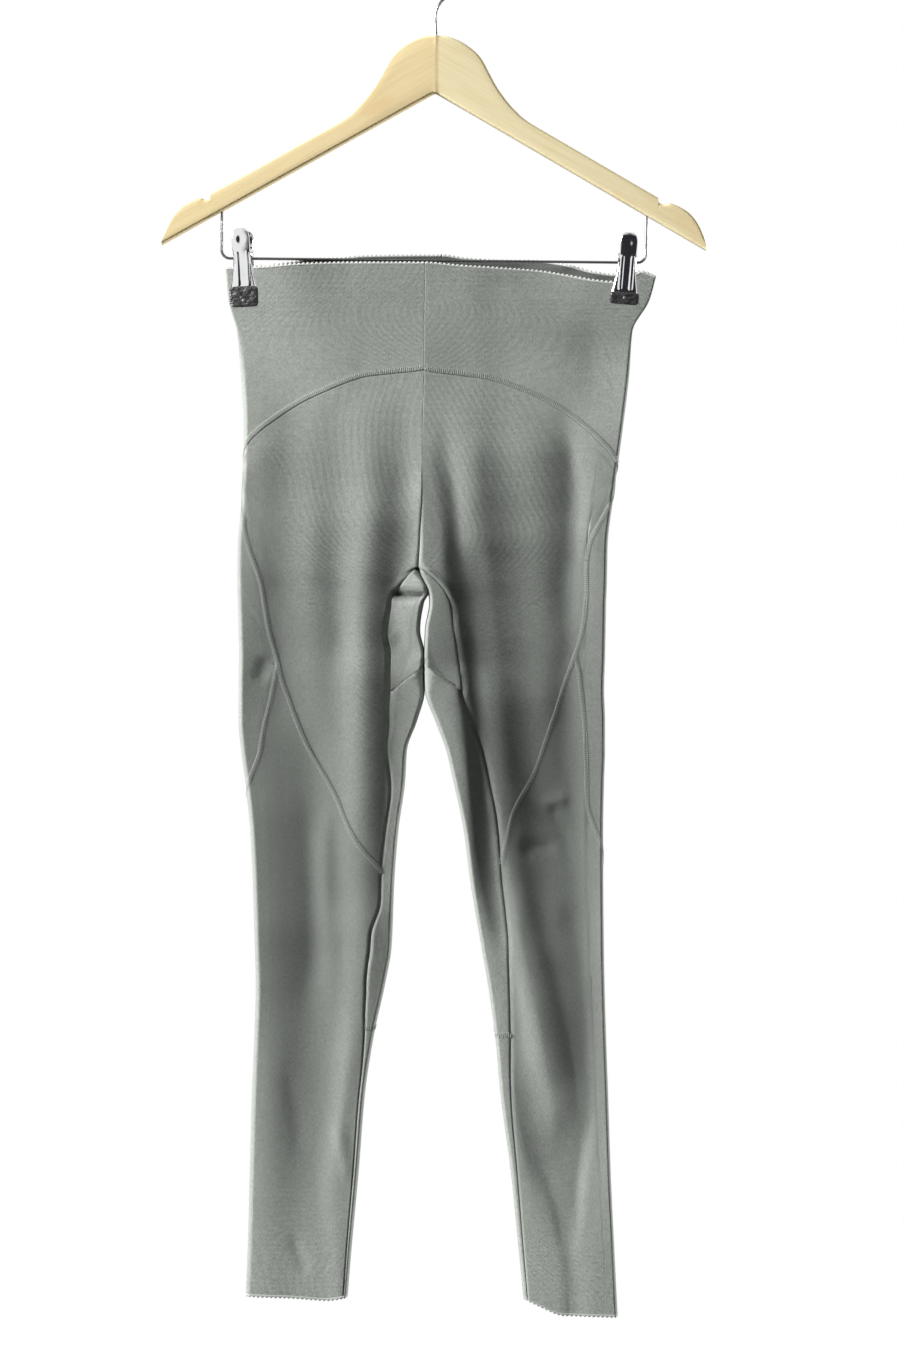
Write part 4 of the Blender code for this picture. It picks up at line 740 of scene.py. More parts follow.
def through(keys, values, at):
    """Values along a curve through some points that doesn't overshoot them."""
    slopes = np.diff(values) / np.diff(keys)
    same_way = slopes[:-1] * slopes[1:] > 0.0
    total = np.where(same_way, slopes[:-1] + slopes[1:], 1.0)
    middle = np.where(same_way, 2.0 * slopes[:-1] * slopes[1:] / total, 0.0)
    bends = np.concatenate([slopes[:1], middle, slopes[-1:]])
    index = np.clip(np.searchsorted(keys, at, side="right") - 1, 0, len(keys) - 2)
    span = keys[index + 1] - keys[index]
    t = np.clip((at - keys[index]) / span, 0.0, 1.0)
    start = values[index] * (2 * t**3 - 3 * t**2 + 1) + values[index + 1] * (3 * t**2 - 2 * t**3)
    bend = bends[index] * (t**3 - 2 * t**2 + t) + bends[index + 1] * (t**3 - t**2)
    return start + bend * span


def fold_line(fold):
    """Points along the smooth curve through a fold's three points."""
    first, second = np.array((fold.x1, fold.drop1)), np.array((fold.x2, fold.drop2))
    third = np.array((fold.x3, fold.drop3))
    steps = np.linspace(0.0, 1.0, FOLD_POINTS)[:, None]
    control = 2.0 * second - (first + third) / 2.0
    return first * (1.0 - steps) ** 2 + control * 2.0 * steps * (1.0 - steps) + third * steps**2


def fold_share(fold, x, drop):
    """How strongly a fold acts at each place, from 0 to 1."""
    line = fold_line(fold)
    away = np.full(x.shape, np.inf)
    side = np.zeros(x.shape)
    along = np.zeros(x.shape)
    for index, (start, end) in enumerate(zip(line, line[1:])):
        run = end - start
        t = np.clip(((x - start[0]) * run[0] + (drop - start[1]) * run[1]) / (run @ run), 0.0, 1.0)
        beside, below = x - start[0] - t * run[0], drop - start[1] - t * run[1]
        distance = np.hypot(beside, below)
        closer = distance < away
        away = np.where(closer, distance, away)
        side = np.where(closer, run[0] * below - run[1] * beside, side)
        along = np.where(closer, (index + t) / (len(line) - 1), along)
    reach = np.where(side > 0.0, fold.left, fold.right)
    taper = smooth(along / FOLD_TAPER) * smooth((1.0 - along) / FOLD_TAPER)
    return taper * np.exp(-((away / reach) ** 2))


# ---------------------------------------------------------------- the cloth's surface
def front_form(lines, levels, edges):
    """Depth of a leg's front over drop and x: the rises of its lines, added up from edge to edge."""
    drops, xs = np.arange(MAP_TOP, MAP_BOTTOM, MAP_STEP), np.arange(-MAP_SIDE, MAP_SIDE, MAP_X)
    places = np.array([read(line, "drop", "x", drops) for line in lines.values()])
    rises = np.array([read(line, "drop", "rise", drops) for line in lines.values()])
    form = []
    for k, drop in enumerate(drops):
        inner = read(edges, "drop", "inner", drop + LEVEL_CALM).mean()
        outer = read(edges, "drop", "outer", drop)
        start, stop = read(levels, "drop", "inner", drop), read(levels, "drop", "outer", drop)
        rise = through(places[:, k], rises[:, k], np.clip(xs, places[0, k], places[-1, k]))
        depth = np.concatenate([[0.0], np.cumsum((rise[1:] + rise[:-1]) / 2.0 * MAP_X)])
        low, high = np.interp(inner, xs, depth), np.interp(outer, xs, depth)
        share = (xs - inner) / (outer - inner)
        form.append(start + depth - low + (stop - start - high + low) * share)
    return np.array(form)


def sample(form, x, drop):
    """Value of a form at places between its own."""
    across = np.clip((x + MAP_SIDE) / MAP_X, 0.0, form.shape[1] - MAP_LAST)
    down = np.clip((drop - MAP_TOP) / MAP_STEP, 0.0, form.shape[0] - MAP_LAST)
    i, j = down.astype(int), across.astype(int)
    t, s = down - i, across - j
    upper = form[i, j] * (1.0 - s) + form[i, j + 1] * s
    lower = form[i + 1, j] * (1.0 - s) + form[i + 1, j + 1] * s
    return upper * (1.0 - t) + lower * t


class Half:
    """One half of the garment: a surface over how far around it is and how far it has dropped."""

    def __init__(self, name, edges, folds, front, levels, yoke, diagonal, calf, hem, strength):
        self.front_depth = front_form(front, levels, edges)
        self.name = name
        self.side = -1.0 if name == "left" else 1.0
        self.edges = edges
        self.folds = folds
        self.strength = strength
        self.hem = hem
        self.clip = next(clip for clip in CLIPS if clip.name == name)
        self.yoke = self.seam(yoke)
        self.diagonal = self.seam(diagonal)
        self.calf = self.seam(calf)

    def openness(self, drop):
        """1 where the half is open to the other one, 0 where it is a closed leg."""
        t = np.clip((drop - CROTCH + CROTCH_CURVE) / CROTCH_CURVE, 0.0, 1.0)
        return np.sqrt(1.0 - t * t)

    def inner(self, front, drop):
        """Inner edge of a face: the centre seam above the crotch, the leg's inner edge below it."""
        middle = read(self.edges, "drop", "inner", drop)
        shift = BACK_SEAM_SHIFT * (1.0 - smooth((drop - FRONT_RIM[0].drop) / SHIFT_FADE))
        return np.where(front, middle, middle + shift)

    def rise(self, reach, radius, depth):
        """Depth of the cloth at a distance from a rounded side fold."""
        fold = np.sqrt(np.maximum(0.0, radius**2 - (radius - np.minimum(reach, radius)) ** 2))
        return fold + (depth - radius) * smooth(reach / EDGE_SWELL)

    def fold_depth(self, front, x, drop):
        """Sum of the ridges and troughs that pass near each place."""
        total = np.zeros(x.shape)
        for fold in self.folds:
            margin = FOLD_REACH * max(fold.left, fold.right)
            xs, drops = (fold.x1, fold.x2, fold.x3), (fold.drop1, fold.drop2, fold.drop3)
            near = (front == (fold.face == "front")) & (drop > min(drops) - margin)
            near &= (drop < max(drops) + margin) & (x > min(xs) - margin) & (x < max(xs) + margin)
            total[near] += fold.depth * fold_share(fold, x[near], drop[near])
        return total * self.strength

    def grip(self, x, drop):
        """1 where the clip holds front and back together, 0 where the cloth is free."""
        beside = np.abs(x - self.clip.x) - GRIP_HALF_WIDTH
        below = drop - read(FRONT_RIM, "x", "drop", x) - GRIP_HEIGHT
        across = 1.0 - smooth(beside / (GRIP_FREE_WIDTH - GRIP_HALF_WIDTH))
        down = 1.0 - smooth(below / (GRIP_FREE_HEIGHT - GRIP_HEIGHT))
        return across * down

    def place(self, around, drop):
        """Points of the cloth's middle surface; around runs from 0 over the front to 1 over the back."""
        around, drop = np.broadcast_arrays(np.asarray(around, float), np.asarray(drop, float))
        around = np.where(around > 1.0, around - 1.0, around)
        front = around <= 0.5
        outer = read(self.edges, "drop", "outer", drop)
        inner = self.inner(front, drop)
        x = inner + (outer - inner) * (1.0 - np.cos(2.0 * np.pi * around)) / 2.0
        depth = np.where(front, read(DEPTHS, "drop", "front", drop), read(DEPTHS, "drop", "back", drop))
        radius = read(DEPTHS, "drop", "fold_radius", drop)
        outer_reach, inner_reach = np.abs(outer - x), np.abs(x - inner)
        openness = self.openness(drop)
        inner_share = openness + (1.0 - openness) * self.rise(inner_reach, radius, depth) / depth
        free = self.rise(outer_reach, radius, depth) * inner_share
        outer_fade = smooth(outer_reach / FOLD_EDGE)
        inner_fade = smooth((inner_reach + INNER_FADE * openness) / INNER_FADE)
        inner_round = openness + (1.0 - openness) * quarter(inner_reach / INNER_ROUND)
        outer_round = quarter(outer_reach / OUTER_ROUND[self.name])
        hanging = sample(self.front_depth, x, drop) * outer_round * inner_round
        free = np.where(front, hanging, free) + self.fold_depth(front, x, drop) * outer_fade * inner_fade
        grip = self.grip(x, drop)
        held = self.rise(outer_reach, GATHERED_DEPTH, GATHERED_DEPTH)
        y = np.where(front, -1.0, 1.0) * (free * (1.0 - grip) + held * grip)
        y = y + grip * (x - self.clip.x) * math.tan(self.clip.turn)
        return np.stack([x, y, -drop], axis=-1)

    def inseam(self, drop):
        """How far around the inseam lies, and the back edge of the gusset there."""
        outer = read(self.edges, "drop", "outer", drop)
        inner = read(self.edges, "drop", "inner", drop)
        share = read(INSEAMS, "drop", self.name, drop) / np.abs(outer - inner)
        front = np.arccos(1.0 - 2.0 * share) / (2.0 * np.pi)
        back = read(INSEAMS, "drop", "gusset_back", drop)
        back = np.where(back > 0.0, front * back, back)
        return front, np.where(drop >= GUSSET_TIP, 1.0 + front, 1.0 + back)

    def around(self, u, drop):
        """Place around the section of a column, which bends only near the inseam to end on it."""
        front, back = self.inseam(drop)
        turn = u + self.bend(u, drop, front, FRONT_SOFT)
        return turn + self.bend(1.0 - u, drop, back - 1.0, BACK_SOFT)

    def bend(self, reach, drop, edge, soft):
        """Bend of a column at some reach from the inseam: exact beside it, eased in further away."""
        start, length = soft
        later = self.inseam(np.maximum(drop, start + length))[0]
        eased = smooth((drop - start) / length) * later
        near = 1.0 - smooth(reach / INSEAM_NEAR)
        return (1.0 - smooth(reach / INSEAM_BEND)) * (edge * near + eased * (1.0 - near))

    def column(self, around, drop):
        """The column that passes a place around the section."""
        low, high = 0.0, 1.0
        for _ in range(COLUMN_HALVINGS):
            middle = (low + high) / 2.0
            if self.around(middle, drop) < around:
                low = middle
            else:
                high = middle
        return low

    def seam(self, crossings):
        """A seam as drop over u."""
        points = []
        for crossing in crossings:
            outer = read(self.edges, "drop", "outer", crossing.drop)
            inner = self.inner(crossing.face == "front", crossing.drop)
            share = min(1.0, max(0.0, (crossing.x - inner) / (outer - inner)))
            turn = math.acos(1.0 - 2.0 * share) / (2.0 * math.pi)
            turn = turn if crossing.face == "front" else 1.0 - turn
            points.append(Rim(self.column(turn, crossing.drop), crossing.drop))
        return points

    def rim(self, u):
        """Drop of the waist's edge, front and back."""
        x = self.place(self.around(u, RIM_LEVEL), RIM_LEVEL)[..., 0]
        return np.where(u <= 0.5, read(FRONT_RIM, "x", "drop", x), read(BACK_RIM, "x", "drop", x))

    def hem_edge(self, u):
        """Drop of the hem."""
        level = self.hem[0].drop
        return read(self.hem, "x", "drop", self.place(self.around(u, level), level)[..., 0])

    def yoke_edge(self, u):
        return read(self.yoke, "x", "drop", u)

    def diagonal_edge(self, u):
        """The diagonal seam, which ends on the arched one."""
        end = self.diagonal[-1].x
        line = self.diagonal[:-1] + [Rim(end, float(self.yoke_edge(end)))]
        return np.where(u >= end, self.yoke_edge(u), read(line, "x", "drop", u))

    def calf_edge(self, u):
        start = self.calf[0].x
        return read([Rim(start, float(self.diagonal_edge(start)))] + self.calf[1:], "x", "drop", u)

    def lower_edge(self, u):
        return np.where(u < self.calf[0].x, self.diagonal_edge(u), self.calf_edge(u))

    def points(self, u, drop):
        return self.place(self.around(u, drop), drop)


def column_shares(half):
    """Shares of the way round at which the cloth has columns, some moved to where a seam ends."""
    rest = 1.0 - COLUMN_EVEN

    def spread(t):
        return 0.5 * (COLUMN_EVEN * t + rest * 2.0 / np.pi * np.arcsin(np.sqrt(t)))

    back = np.linspace(1.0, 0.0, BACK_COLUMNS + 1)
    back = 1.0 - spread(back * (COLUMN_EVEN + rest * back))
    shares = np.concatenate([spread(np.linspace(0.0, 1.0, FRONT_COLUMNS + 1)), back[1:]])
    for end in (half.calf[0].x, half.diagonal[-1].x):
        shares[1 + np.argmin(np.abs(shares[1:-1] - end))] = end
    return shares


def both_halves(context):
    left = (LEFT_EDGES, LEFT_FOLDS, LEFT_FRONT, LEFT_LEVELS)
    left += (LEFT_YOKE, LEFT_DIAGONAL, LEFT_CALF, LEFT_HEM)
    right = (RIGHT_EDGES, RIGHT_FOLDS, RIGHT_FRONT, RIGHT_LEVELS)
    right += (RIGHT_YOKE, RIGHT_DIAGONAL, RIGHT_CALF, RIGHT_HEM)
    strength = context.scene.leggings_knit.crease
    return [Half("left", *left, strength), Half("right", *right, strength)]


# ---------------------------------------------------------------- turning surfaces into cloth
def unit(vectors):
    length = np.linalg.norm(vectors, axis=-1, keepdims=True)
    return vectors / np.maximum(length, 1e-9)


def outward(points, side):
    """Outward directions of a grid of rows down and columns around."""
    down = np.gradient(points, axis=0)
    across = np.gradient(points, axis=1)
    return unit(np.cross(down, across) * side)


def edge_distance(points, axis):
    """Distance along the cloth from the first and from the last row or column."""
    steps = np.linalg.norm(np.diff(points, axis=axis), axis=-1)
    zero = np.zeros_like(np.take(steps, [0], axis=axis))
    run = np.concatenate([zero, np.cumsum(steps, axis=axis)], axis=axis)
    return run, np.take(run, [-1], axis=axis) - run


def groove(distance):
    return GROOVE_DEPTH * np.exp(-((distance / GROOVE_WIDTH) ** 2))


def link(item, material):
    """Give a new piece its finish and let it ride with the body."""
    if item.name not in bpy.context.scene.collection.objects:
        bpy.context.scene.collection.objects.link(item)
    item.data.materials.clear()
    item.data.materials.append(material)
    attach(item, BODY)
    return item


def mesh_object(name, vertices, faces):
    """A mesh from points in millimetres."""
    mesh = bpy.data.meshes.new(name)
    mesh.from_pydata((np.asarray(vertices, float) * MM).tolist(), [], faces)
    mesh.validate()
    mesh.shade_smooth()
    return bpy.data.objects.new(name, mesh)


def hoops(count, size, first=0):
    """Faces that join some rings of points, each to the next."""
    faces = []
    for low in range(first, first + (count - 1) * size, size):
        for i in range(size):
            n = (i + 1) % size
            faces.append((low + i, low + n, low + size + n, low + size + i))
    return faces


def caps(count, size):
    """Faces that close the first and the last of some rings of points."""
    return [tuple(range(size)), tuple(range((count - 1) * size, count * size))]


def recalculate(mesh, *changes):
    """Make some changes to a mesh and turn its faces outward."""
    bm = bmesh.new()
    bm.from_mesh(mesh)
    for change in changes:
        change(bm)
    bmesh.ops.recalc_face_normals(bm, faces=bm.faces)
    bm.to_mesh(mesh)
    bm.free()


def cloth_object(name, points, outer, inner, side):
    """A closed wall of cloth round a grid of points, outer and inner millimetres to either side of it."""
    normals = outward(points, side)
    rows, columns = points.shape[:2]
    outside = (points + normals * outer[..., None]).reshape(-1, 3)
    inside = (points - normals * inner[..., None]).reshape(-1, 3)
    index = np.arange(rows * columns).reshape(rows, columns)
    a, b, c, d = index[:-1, :-1], index[:-1, 1:], index[1:, 1:], index[1:, :-1]
    quads = np.stack([a, b, c, d], axis=-1).reshape(-1, 4)
    quads = quads if side < 0.0 else quads[:, ::-1]
    count = rows * columns
    ring = np.concatenate([index[0, :-1], index[:-1, -1], index[-1, :0:-1], index[:0:-1, 0]])
    after = np.roll(ring, -1)
    wall = np.stack([after, ring, ring + count, after + count], axis=-1)
    wall = wall if side < 0.0 else wall[:, ::-1]
    faces = np.concatenate([quads, quads[:, ::-1] + count, wall])
    item = mesh_object(name, np.concatenate([outside, inside]), faces.tolist())
    run = edge_distance(points, 1)[0]
    across = run - run[:, columns // 2][:, None]
    along = edge_distance(points, 0)[0] - points[:1, :, 2]
    pattern = np.stack([across, along, np.zeros_like(across)], axis=-1).reshape(-1, 3) * MM
    layer = item.data.attributes.new("knit", "FLOAT_VECTOR", "POINT")
    # The inner layer's coordinates are raised by 0.5, which marks it for the knit's painted shade.
    layer.data.foreach_set("vector", np.concatenate([pattern, pattern + 0.5]).astype(np.float32).ravel())
    return item


def rows_between(top, bottom):
    """Drops from one edge to the other for every column, closer together beside both edges."""
    bottom = np.maximum(bottom, top + TIP_HEIGHT)
    length = bottom - top
    near = np.array(SEAM_ROWS)
    middle = max(3, int(round((length.max() - 2.0 * near[-1]) / ROW_STEP)))
    shrink = np.clip(length / (4.0 * near[-1]), 0.0, 1.0)
    start = top + near[:, None] * shrink
    end = (bottom - near[:, None] * shrink)[::-1]
    shares = np.linspace(0.0, 1.0, middle + 1)[1:-1, None]
    return np.concatenate([start, start[-1] + (end[0] - start[-1]) * shares, end])


def sewn_piece(context, half, part, shares, top, bottom, plain_edges, band_edges):
    """A cut piece of the leggings between two seams, over some of the half's columns."""
    wall = context.scene.leggings_knit.wall / MM
    drops = rows_between(top(shares), bottom(shares))
    points = half.points(np.broadcast_to(shares, drops.shape), drops)
    above, below = edge_distance(points, 0)
    before, after = edge_distance(points, 1)
    outer = np.full(drops.shape, wall / 2.0)
    for name, distance in (("top", above), ("bottom", below)):
        if name in plain_edges:
            outer -= groove(distance)
        if name in band_edges:
            fall = 1.0 - smooth((distance - band_edges[name]) / BAND_FALL)
            outer += BAND_RISE * fall * smooth((distance + BAND_LEAD) / BAND_START)
    outer -= SIDE_GROOVE * (groove(before) + groove(after))
    inner = np.full(drops.shape, wall / 2.0)
    return cloth_object(part + "_" + half.name + "_knit", points, outer, inner, half.side)


def finish_cloth(context, item, node):
    """Finish, body and replaced node of a piece of cloth."""
    material = bpy.data.materials.get("grey green knit")
    if material is None:
        material = knit_finish("grey green knit", tuple(context.scene.leggings_knit.colour))
    link(item, material)
    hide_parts(node)


def turn_along(half, around, drops):
    """Directions around the leg."""
    return half.place(around + TURN_STEP, drops) - half.place(around - TURN_STEP, drops)


def seam_frames(half, us, drops, lift):
    """Points just above the cloth, and the directions along, across and out of it, for a line on it."""
    points = half.points(us, drops)
    around = half.around(us, drops)
    turn = turn_along(half, around, drops)
    fall = half.place(around, drops + FALL_STEP) - half.place(around, drops - FALL_STEP)
    out = unit(np.cross(fall, turn) * half.side)
    along = unit(np.gradient(points, axis=0))
    return points + out * lift, along, unit(np.cross(out, along)), out


def even_line(half, edge, start, end, pitch):
    """Evenly spaced places along a seam: shares around and drops."""
    us = np.linspace(start, end, LINE_STEPS)
    drops = edge(us)
    points = half.points(us, drops)
    run = np.concatenate([[0.0], np.cumsum(np.linalg.norm(np.diff(points, axis=0), axis=-1))])
    count = max(2, int(run[-1] / pitch))
    even = np.interp(np.linspace(0.0, run[-1], count), run, us)
    return even, edge(even)


def stitch_row(context, name, half, edge, start, end, offset):
    """Threads side by side across a seam, as a flatlock machine lays them. Offset is up from the seam."""
    knit = context.scene.leggings_knit
    pitch, radius = knit.stitch_pitch / MM, knit.thread / MM / 2.0
    us, drops = even_line(half, edge, start, end, pitch)
    base, along, across, out = seam_frames(half, us, drops, knit.wall / MM / 2.0 + BAND_RISE)
    if across[len(across) // 2][2] < 0.0:
        across = -across
    vertices, faces = [], []
    size = len(THREAD_SECTION)
    for k in range(len(us)):
        lean = THREAD_LEAN if k % 2 else -THREAD_LEAN
        first = len(vertices)
        for s in np.linspace(-0.5, 0.5, THREAD_SPANS):
            centre = base[k] + across[k] * (offset + s * (BAND_WIDTH - THREAD_INSET)) + along[k] * lean * s
            centre = centre + out[k] * (radius * 0.5 - THREAD_DIVE * BAND_RISE * (2.0 * abs(s)) ** 6 * 0.5)
            for a, o in THREAD_SECTION:
                vertices.append(centre + along[k] * a * radius + out[k] * o * radius)
        last = len(vertices) - size
        faces += hoops(THREAD_SPANS, size, first)
        faces += [tuple(range(first, first + size))[::-1], tuple(range(last, last + size))]
    item = mesh_object(name, vertices, faces)
    recalculate(item.data)
    return item


def scalloped_edge(context, name, half, edge, upward):
    """The little scallops along a cut edge, standing out of it."""
    wall = context.scene.leggings_knit.wall / MM
    us, drops = even_line(half, edge, 0.0, 1.0, SCALLOP_PITCH / SCALLOP_STEPS)
    points = half.points(us, drops)
    turn = turn_along(half, half.around(us, drops), drops)
    fall = np.zeros_like(turn)
    fall[:, 2] = -1.0
    out = unit(np.cross(fall, turn) * half.side)
    run = np.arange(len(us)) * SCALLOP_PITCH / SCALLOP_STEPS
    height = SCALLOP_ROOT + SCALLOP_HEIGHT * np.abs(np.sin(np.pi * run / SCALLOP_PITCH))
    way = np.array([0.0, 0.0, 1.0 if upward else -1.0])
    rings = []
    for rise, beside in SCALLOP_SECTION:
        lift = np.where(rise > 0.0, rise * height, rise)
        rings.append(points + out * beside * wall * SCALLOP_WALL + way * np.asarray(lift).reshape(-1, 1))
    size = len(SCALLOP_SECTION)
    first, last = caps(len(us), size)
    faces = hoops(len(us), size) + [first, last[::-1]]
    item = mesh_object(name, np.stack(rings, axis=1).reshape(-1, 3), faces)
    recalculate(item.data)
    return item


class LEGGINGS_OT_waistband(bpy.types.Operator):
    """High waistband: one piece for each side, with a scalloped edge and the raised band of its arched seam
    """

    bl_idname = "leggings.waistband"
    bl_label = "Waistband"

    def execute(self, context):
        knit = context.scene.leggings_knit
        edge = thread_finish("cut edge", tuple(knit.edge_colour))
        for half in both_halves(context):
            shares = column_shares(half)
            item = sewn_piece(
                context, half, "waistband", shares, half.rim, half.yoke_edge, (), {"bottom": BAND_WIDTH})
            trim = scalloped_edge(context, "waist_scallops_" + half.name, half, half.rim, True)
            link(trim, edge)
            finish_cloth(context, item, "waistband_" + half.name)
        return {"FINISHED"}


class LEGGINGS_OT_thighs(bpy.types.Operator):
    """Front thighs, from the arched seam to the diagonal one"""

    bl_idname = "leggings.thighs"
    bl_label = "Front thighs"

    def execute(self, context):
        for half in both_halves(context):
            shares = column_shares(half)
            shares = shares[shares <= half.diagonal[-1].x]
            item = sewn_piece(
                context, half, "front_thigh", shares, half.yoke_edge, half.diagonal_edge, ("top",),
                {"bottom": BAND_WIDTH / 2.0})
            finish_cloth(context, item, "front_thigh_" + half.name)
        return {"FINISHED"}


class LEGGINGS_OT_backs(bpy.types.Operator):
    """Back panels, from the arched seam to the seam round the calf"""

    bl_idname = "leggings.backs"
    bl_label = "Back panels"

    def execute(self, context):
        for half in both_halves(context):
            shares = column_shares(half)
            shares = shares[shares >= half.calf[0].x]
            item = sewn_piece(
                context, half, "back_panel", shares, half.diagonal_edge, half.calf_edge, (),
                {"top": BAND_WIDTH / 2.0, "bottom": BAND_WIDTH / 2.0})
            finish_cloth(context, item, "back_panel_" + half.name)
        return {"FINISHED"}


class LEGGINGS_OT_legs(bpy.types.Operator):
    """Lower legs with their raw hems"""

    bl_idname = "leggings.legs"
    bl_label = "Lower legs"

    def execute(self, context):
        knit = context.scene.leggings_knit
        edge = thread_finish("hem edge", shade(knit.colour, 1.25))
        for half in both_halves(context):
            shares = column_shares(half)
            item = sewn_piece(
                context, half, "lower_leg", shares, half.lower_edge, half.hem_edge, (),
                {"top": BAND_WIDTH / 2.0})
            trim = scalloped_edge(context, "hem_scallops_" + half.name, half, half.hem_edge, False)
            link(trim, edge)
            finish_cloth(context, item, "lower_leg_" + half.name)
        return {"FINISHED"}


class LEGGINGS_OT_gusset(bpy.types.Operator):
    """Diamond gusset between the legs"""

    bl_idname = "leggings.gusset"
    bl_label = "Gusset"

    def execute(self, context):
        wall = context.scene.leggings_knit.wall / MM
        parts = []
        across = np.linspace(-1.0, 1.0, GUSSET_ROWS)
        for half in both_halves(context):
            progress = np.linspace(0.0, GUSSET_END, GUSSET_COLUMNS)
            progress = progress if half.side > 0.0 else progress[:0:-1]
            level = GUSSET_TOP + (GUSSET_TIP - GUSSET_TOP) * progress
            front, back = half.inseam(level)
            tip = half.inseam(np.array(GUSSET_TIP))[0]
            middle = tip * progress**2
            t, column = np.meshgrid(across, np.arange(len(progress)), indexing="ij")
            edge = np.where(t < 0.0, front[column], back[column] - 1.0)
            turn = middle[column] + (edge - middle[column]) * np.abs(t)
            around = np.where((t < 0.0) | (turn > 1e-9), turn, 1.0 + turn)
            dip = (CROTCH - GUSSET_TOP) * (1.0 - progress[column])
            parts.append(half.place(around, level[column] + dip * (1.0 - t * t)))
        points = np.concatenate(parts, axis=1)
        near = np.minimum(*edge_distance(points, 0))
        outer = wall / 2.0 - groove(near)
        item = cloth_object("gusset_knit", points, outer, np.full(outer.shape, wall / 2.0), 1.0)
        finish_cloth(context, item, "gusset")
        return {"FINISHED"}


class LEGGINGS_OT_flatlock(bpy.types.Operator):
    """Flat stitched seams: arched, diagonal and round the calf"""

    bl_idname = "leggings.flatlock"
    bl_label = "Flatlock seams"

    def execute(self, context):
        knit = context.scene.leggings_knit
        thread = thread_finish("seam thread", tuple(knit.thread_colour))
        for half in both_halves(context):
            end = half.diagonal[-1].x
            runs = [
                ("arch", half.yoke_edge, 0.0, 1.0, BAND_WIDTH / 2.0),
                ("diagonal", half.diagonal_edge, 0.0, end, 0.0),
                ("calf", half.calf_edge, half.calf[0].x, 1.0, 0.0),
            ]
            for seam, edge, start, stop, offset in runs:
                name = "stitches_" + seam + "_" + half.name
                link(stitch_row(context, name, half, edge, start, stop, offset), thread)
        return {"FINISHED"}


# ---------------------------------------------------------------- hanger
def smooth_outline(points, steps=4):
    """A curve through the points of an outline."""
    points = [np.array(point, float) for point in points]
    padded = [2 * points[0] - points[1]] + points + [2 * points[-1] - points[-2]]
    curve = []
    for a, b, c, d in zip(padded, padded[1:], padded[2:], padded[3:]):
        for step in range(steps):
            t = step / steps
            curve.append(0.5 * (2 * b + (c - a) * t + (2 * a - 5 * b + 4 * c - d) * t**2
                                + (3 * b - a - 3 * c + d) * t**3))
    return curve + [points[-1]]


def wood_outline():
    """Upper outline of an arm, from the top of the middle joint to the end of the shoulder."""
    points = smooth_outline(DOME)
    tilt = math.atan((NOTCH.drop - DOME[-1].drop) / (NOTCH.x - DOME[-1].x))
    for step in range(NOTCH_STEPS + 1):
        angle = math.pi * (NOTCH_END + (NOTCH_START - NOTCH_END) * step / NOTCH_STEPS)
        across, down = math.cos(angle) * NOTCH_RADIUS, math.sin(angle) * NOTCH_RADIUS
        x = NOTCH.x + across * math.cos(tilt) - down * math.sin(tilt)
        drop = NOTCH.drop + across * math.sin(tilt) + down * math.cos(tilt)
        points.append(np.array([x, drop]))
    return np.array(points + smooth_outline(SHOULDER_TIP[:-1], 5))


def underside_drop(x):
    """Drop of the wood's straight underside."""
    tip = SHOULDER_TIP[-1]
    return APEX + UNDERSIDE.drop + (tip.drop - UNDERSIDE.drop) * abs(x) / tip.x


def tilted(item):
    """Bake the hanger's small tilt into a mesh."""
    item.data.transform(Matrix.Rotation(HANGER_TILT, 4, "Y"))
    return item


def wood_arm(side):
    """One wooden arm: a rounded bar whose upper side follows the outline, square at the middle joint."""
    outline = wood_outline()
    long_run = np.arange(DOME[-1].x + WOOD_STEP, NOTCH.x - 2.0 * WOOD_STEP, WOOD_STEP)
    xs = np.unique(np.concatenate([outline[:, 0], long_run]))
    tops = np.interp(xs, outline[:, 0], outline[:, 1]) + APEX
    lows = np.maximum(underside_drop(xs), tops + WOOD_LEAST)
    slope = np.gradient(tops, xs)
    half, middle = (lows - tops) / 2.0, (lows + tops) / 2.0
    soft = WOOD_ROUND * smooth(xs / 2.0) + 0.05
    upper = np.minimum(soft * np.hypot(1.0, slope), half * 0.9)
    lower = np.minimum(soft * 1.1, half * 0.9)
    thick = WOOD_THICK / 2.0
    turns = np.radians(np.linspace(0.0, 90.0, 6))
    flats = np.linspace(-1.0, 1.0, 5)[1:-1]
    rings = []
    for x, mid, h, up, low, r in zip(xs, middle, half, upper, lower, np.minimum(soft, thick)):
        ring = [(thick - r + r * math.cos(t), h - up + up * math.sin(t)) for t in turns]
        ring += [(-(thick - r) * f, h) for f in flats]
        ring += [(-thick + r - r * math.sin(t), h - up + up * math.cos(t)) for t in turns]
        ring += [(-thick, (h - up) * (1.0 - f) / 2.0 - (h - low) * (1.0 + f) / 2.0) for f in flats]
        ring += [(-thick + r - r * math.cos(t), -h + low - low * math.sin(t)) for t in turns]
        ring += [((thick - r) * f, -h) for f in flats]
        ring += [(thick - r + r * math.sin(t), -h + low - low * math.cos(t)) for t in turns]
        ring += [(thick, (h - up) * (1.0 + f) / 2.0 - (h - low) * (1.0 - f) / 2.0) for f in flats]
        rings.append([(side * max(x, 0.03), y, -mid + z) for y, z in ring])
    count, size = len(rings), len(rings[0])
    name = "arm_left" if side < 0.0 else "arm_right"
    item = mesh_object(name, [p for ring in rings for p in ring], hoops(count, size) + caps(count, size))
    recalculate(item.data)
    bore(item, 0.0, -APEX - HOOK_DEPTH - BORE_GAP, BORE_LEAD - APEX, HOOK_WIRE + BORE_GAP)
    low = -underside_drop(BAR_HALF)
    bore(item, side * BAR_HALF, low - BAR_LEAD, low + BAR_DEPTH + BORE_GAP, BAR_WIRE + BORE_GAP)
    item.data.set_sharp_from_angle(angle=math.radians(38.0))
    return tilted(item)


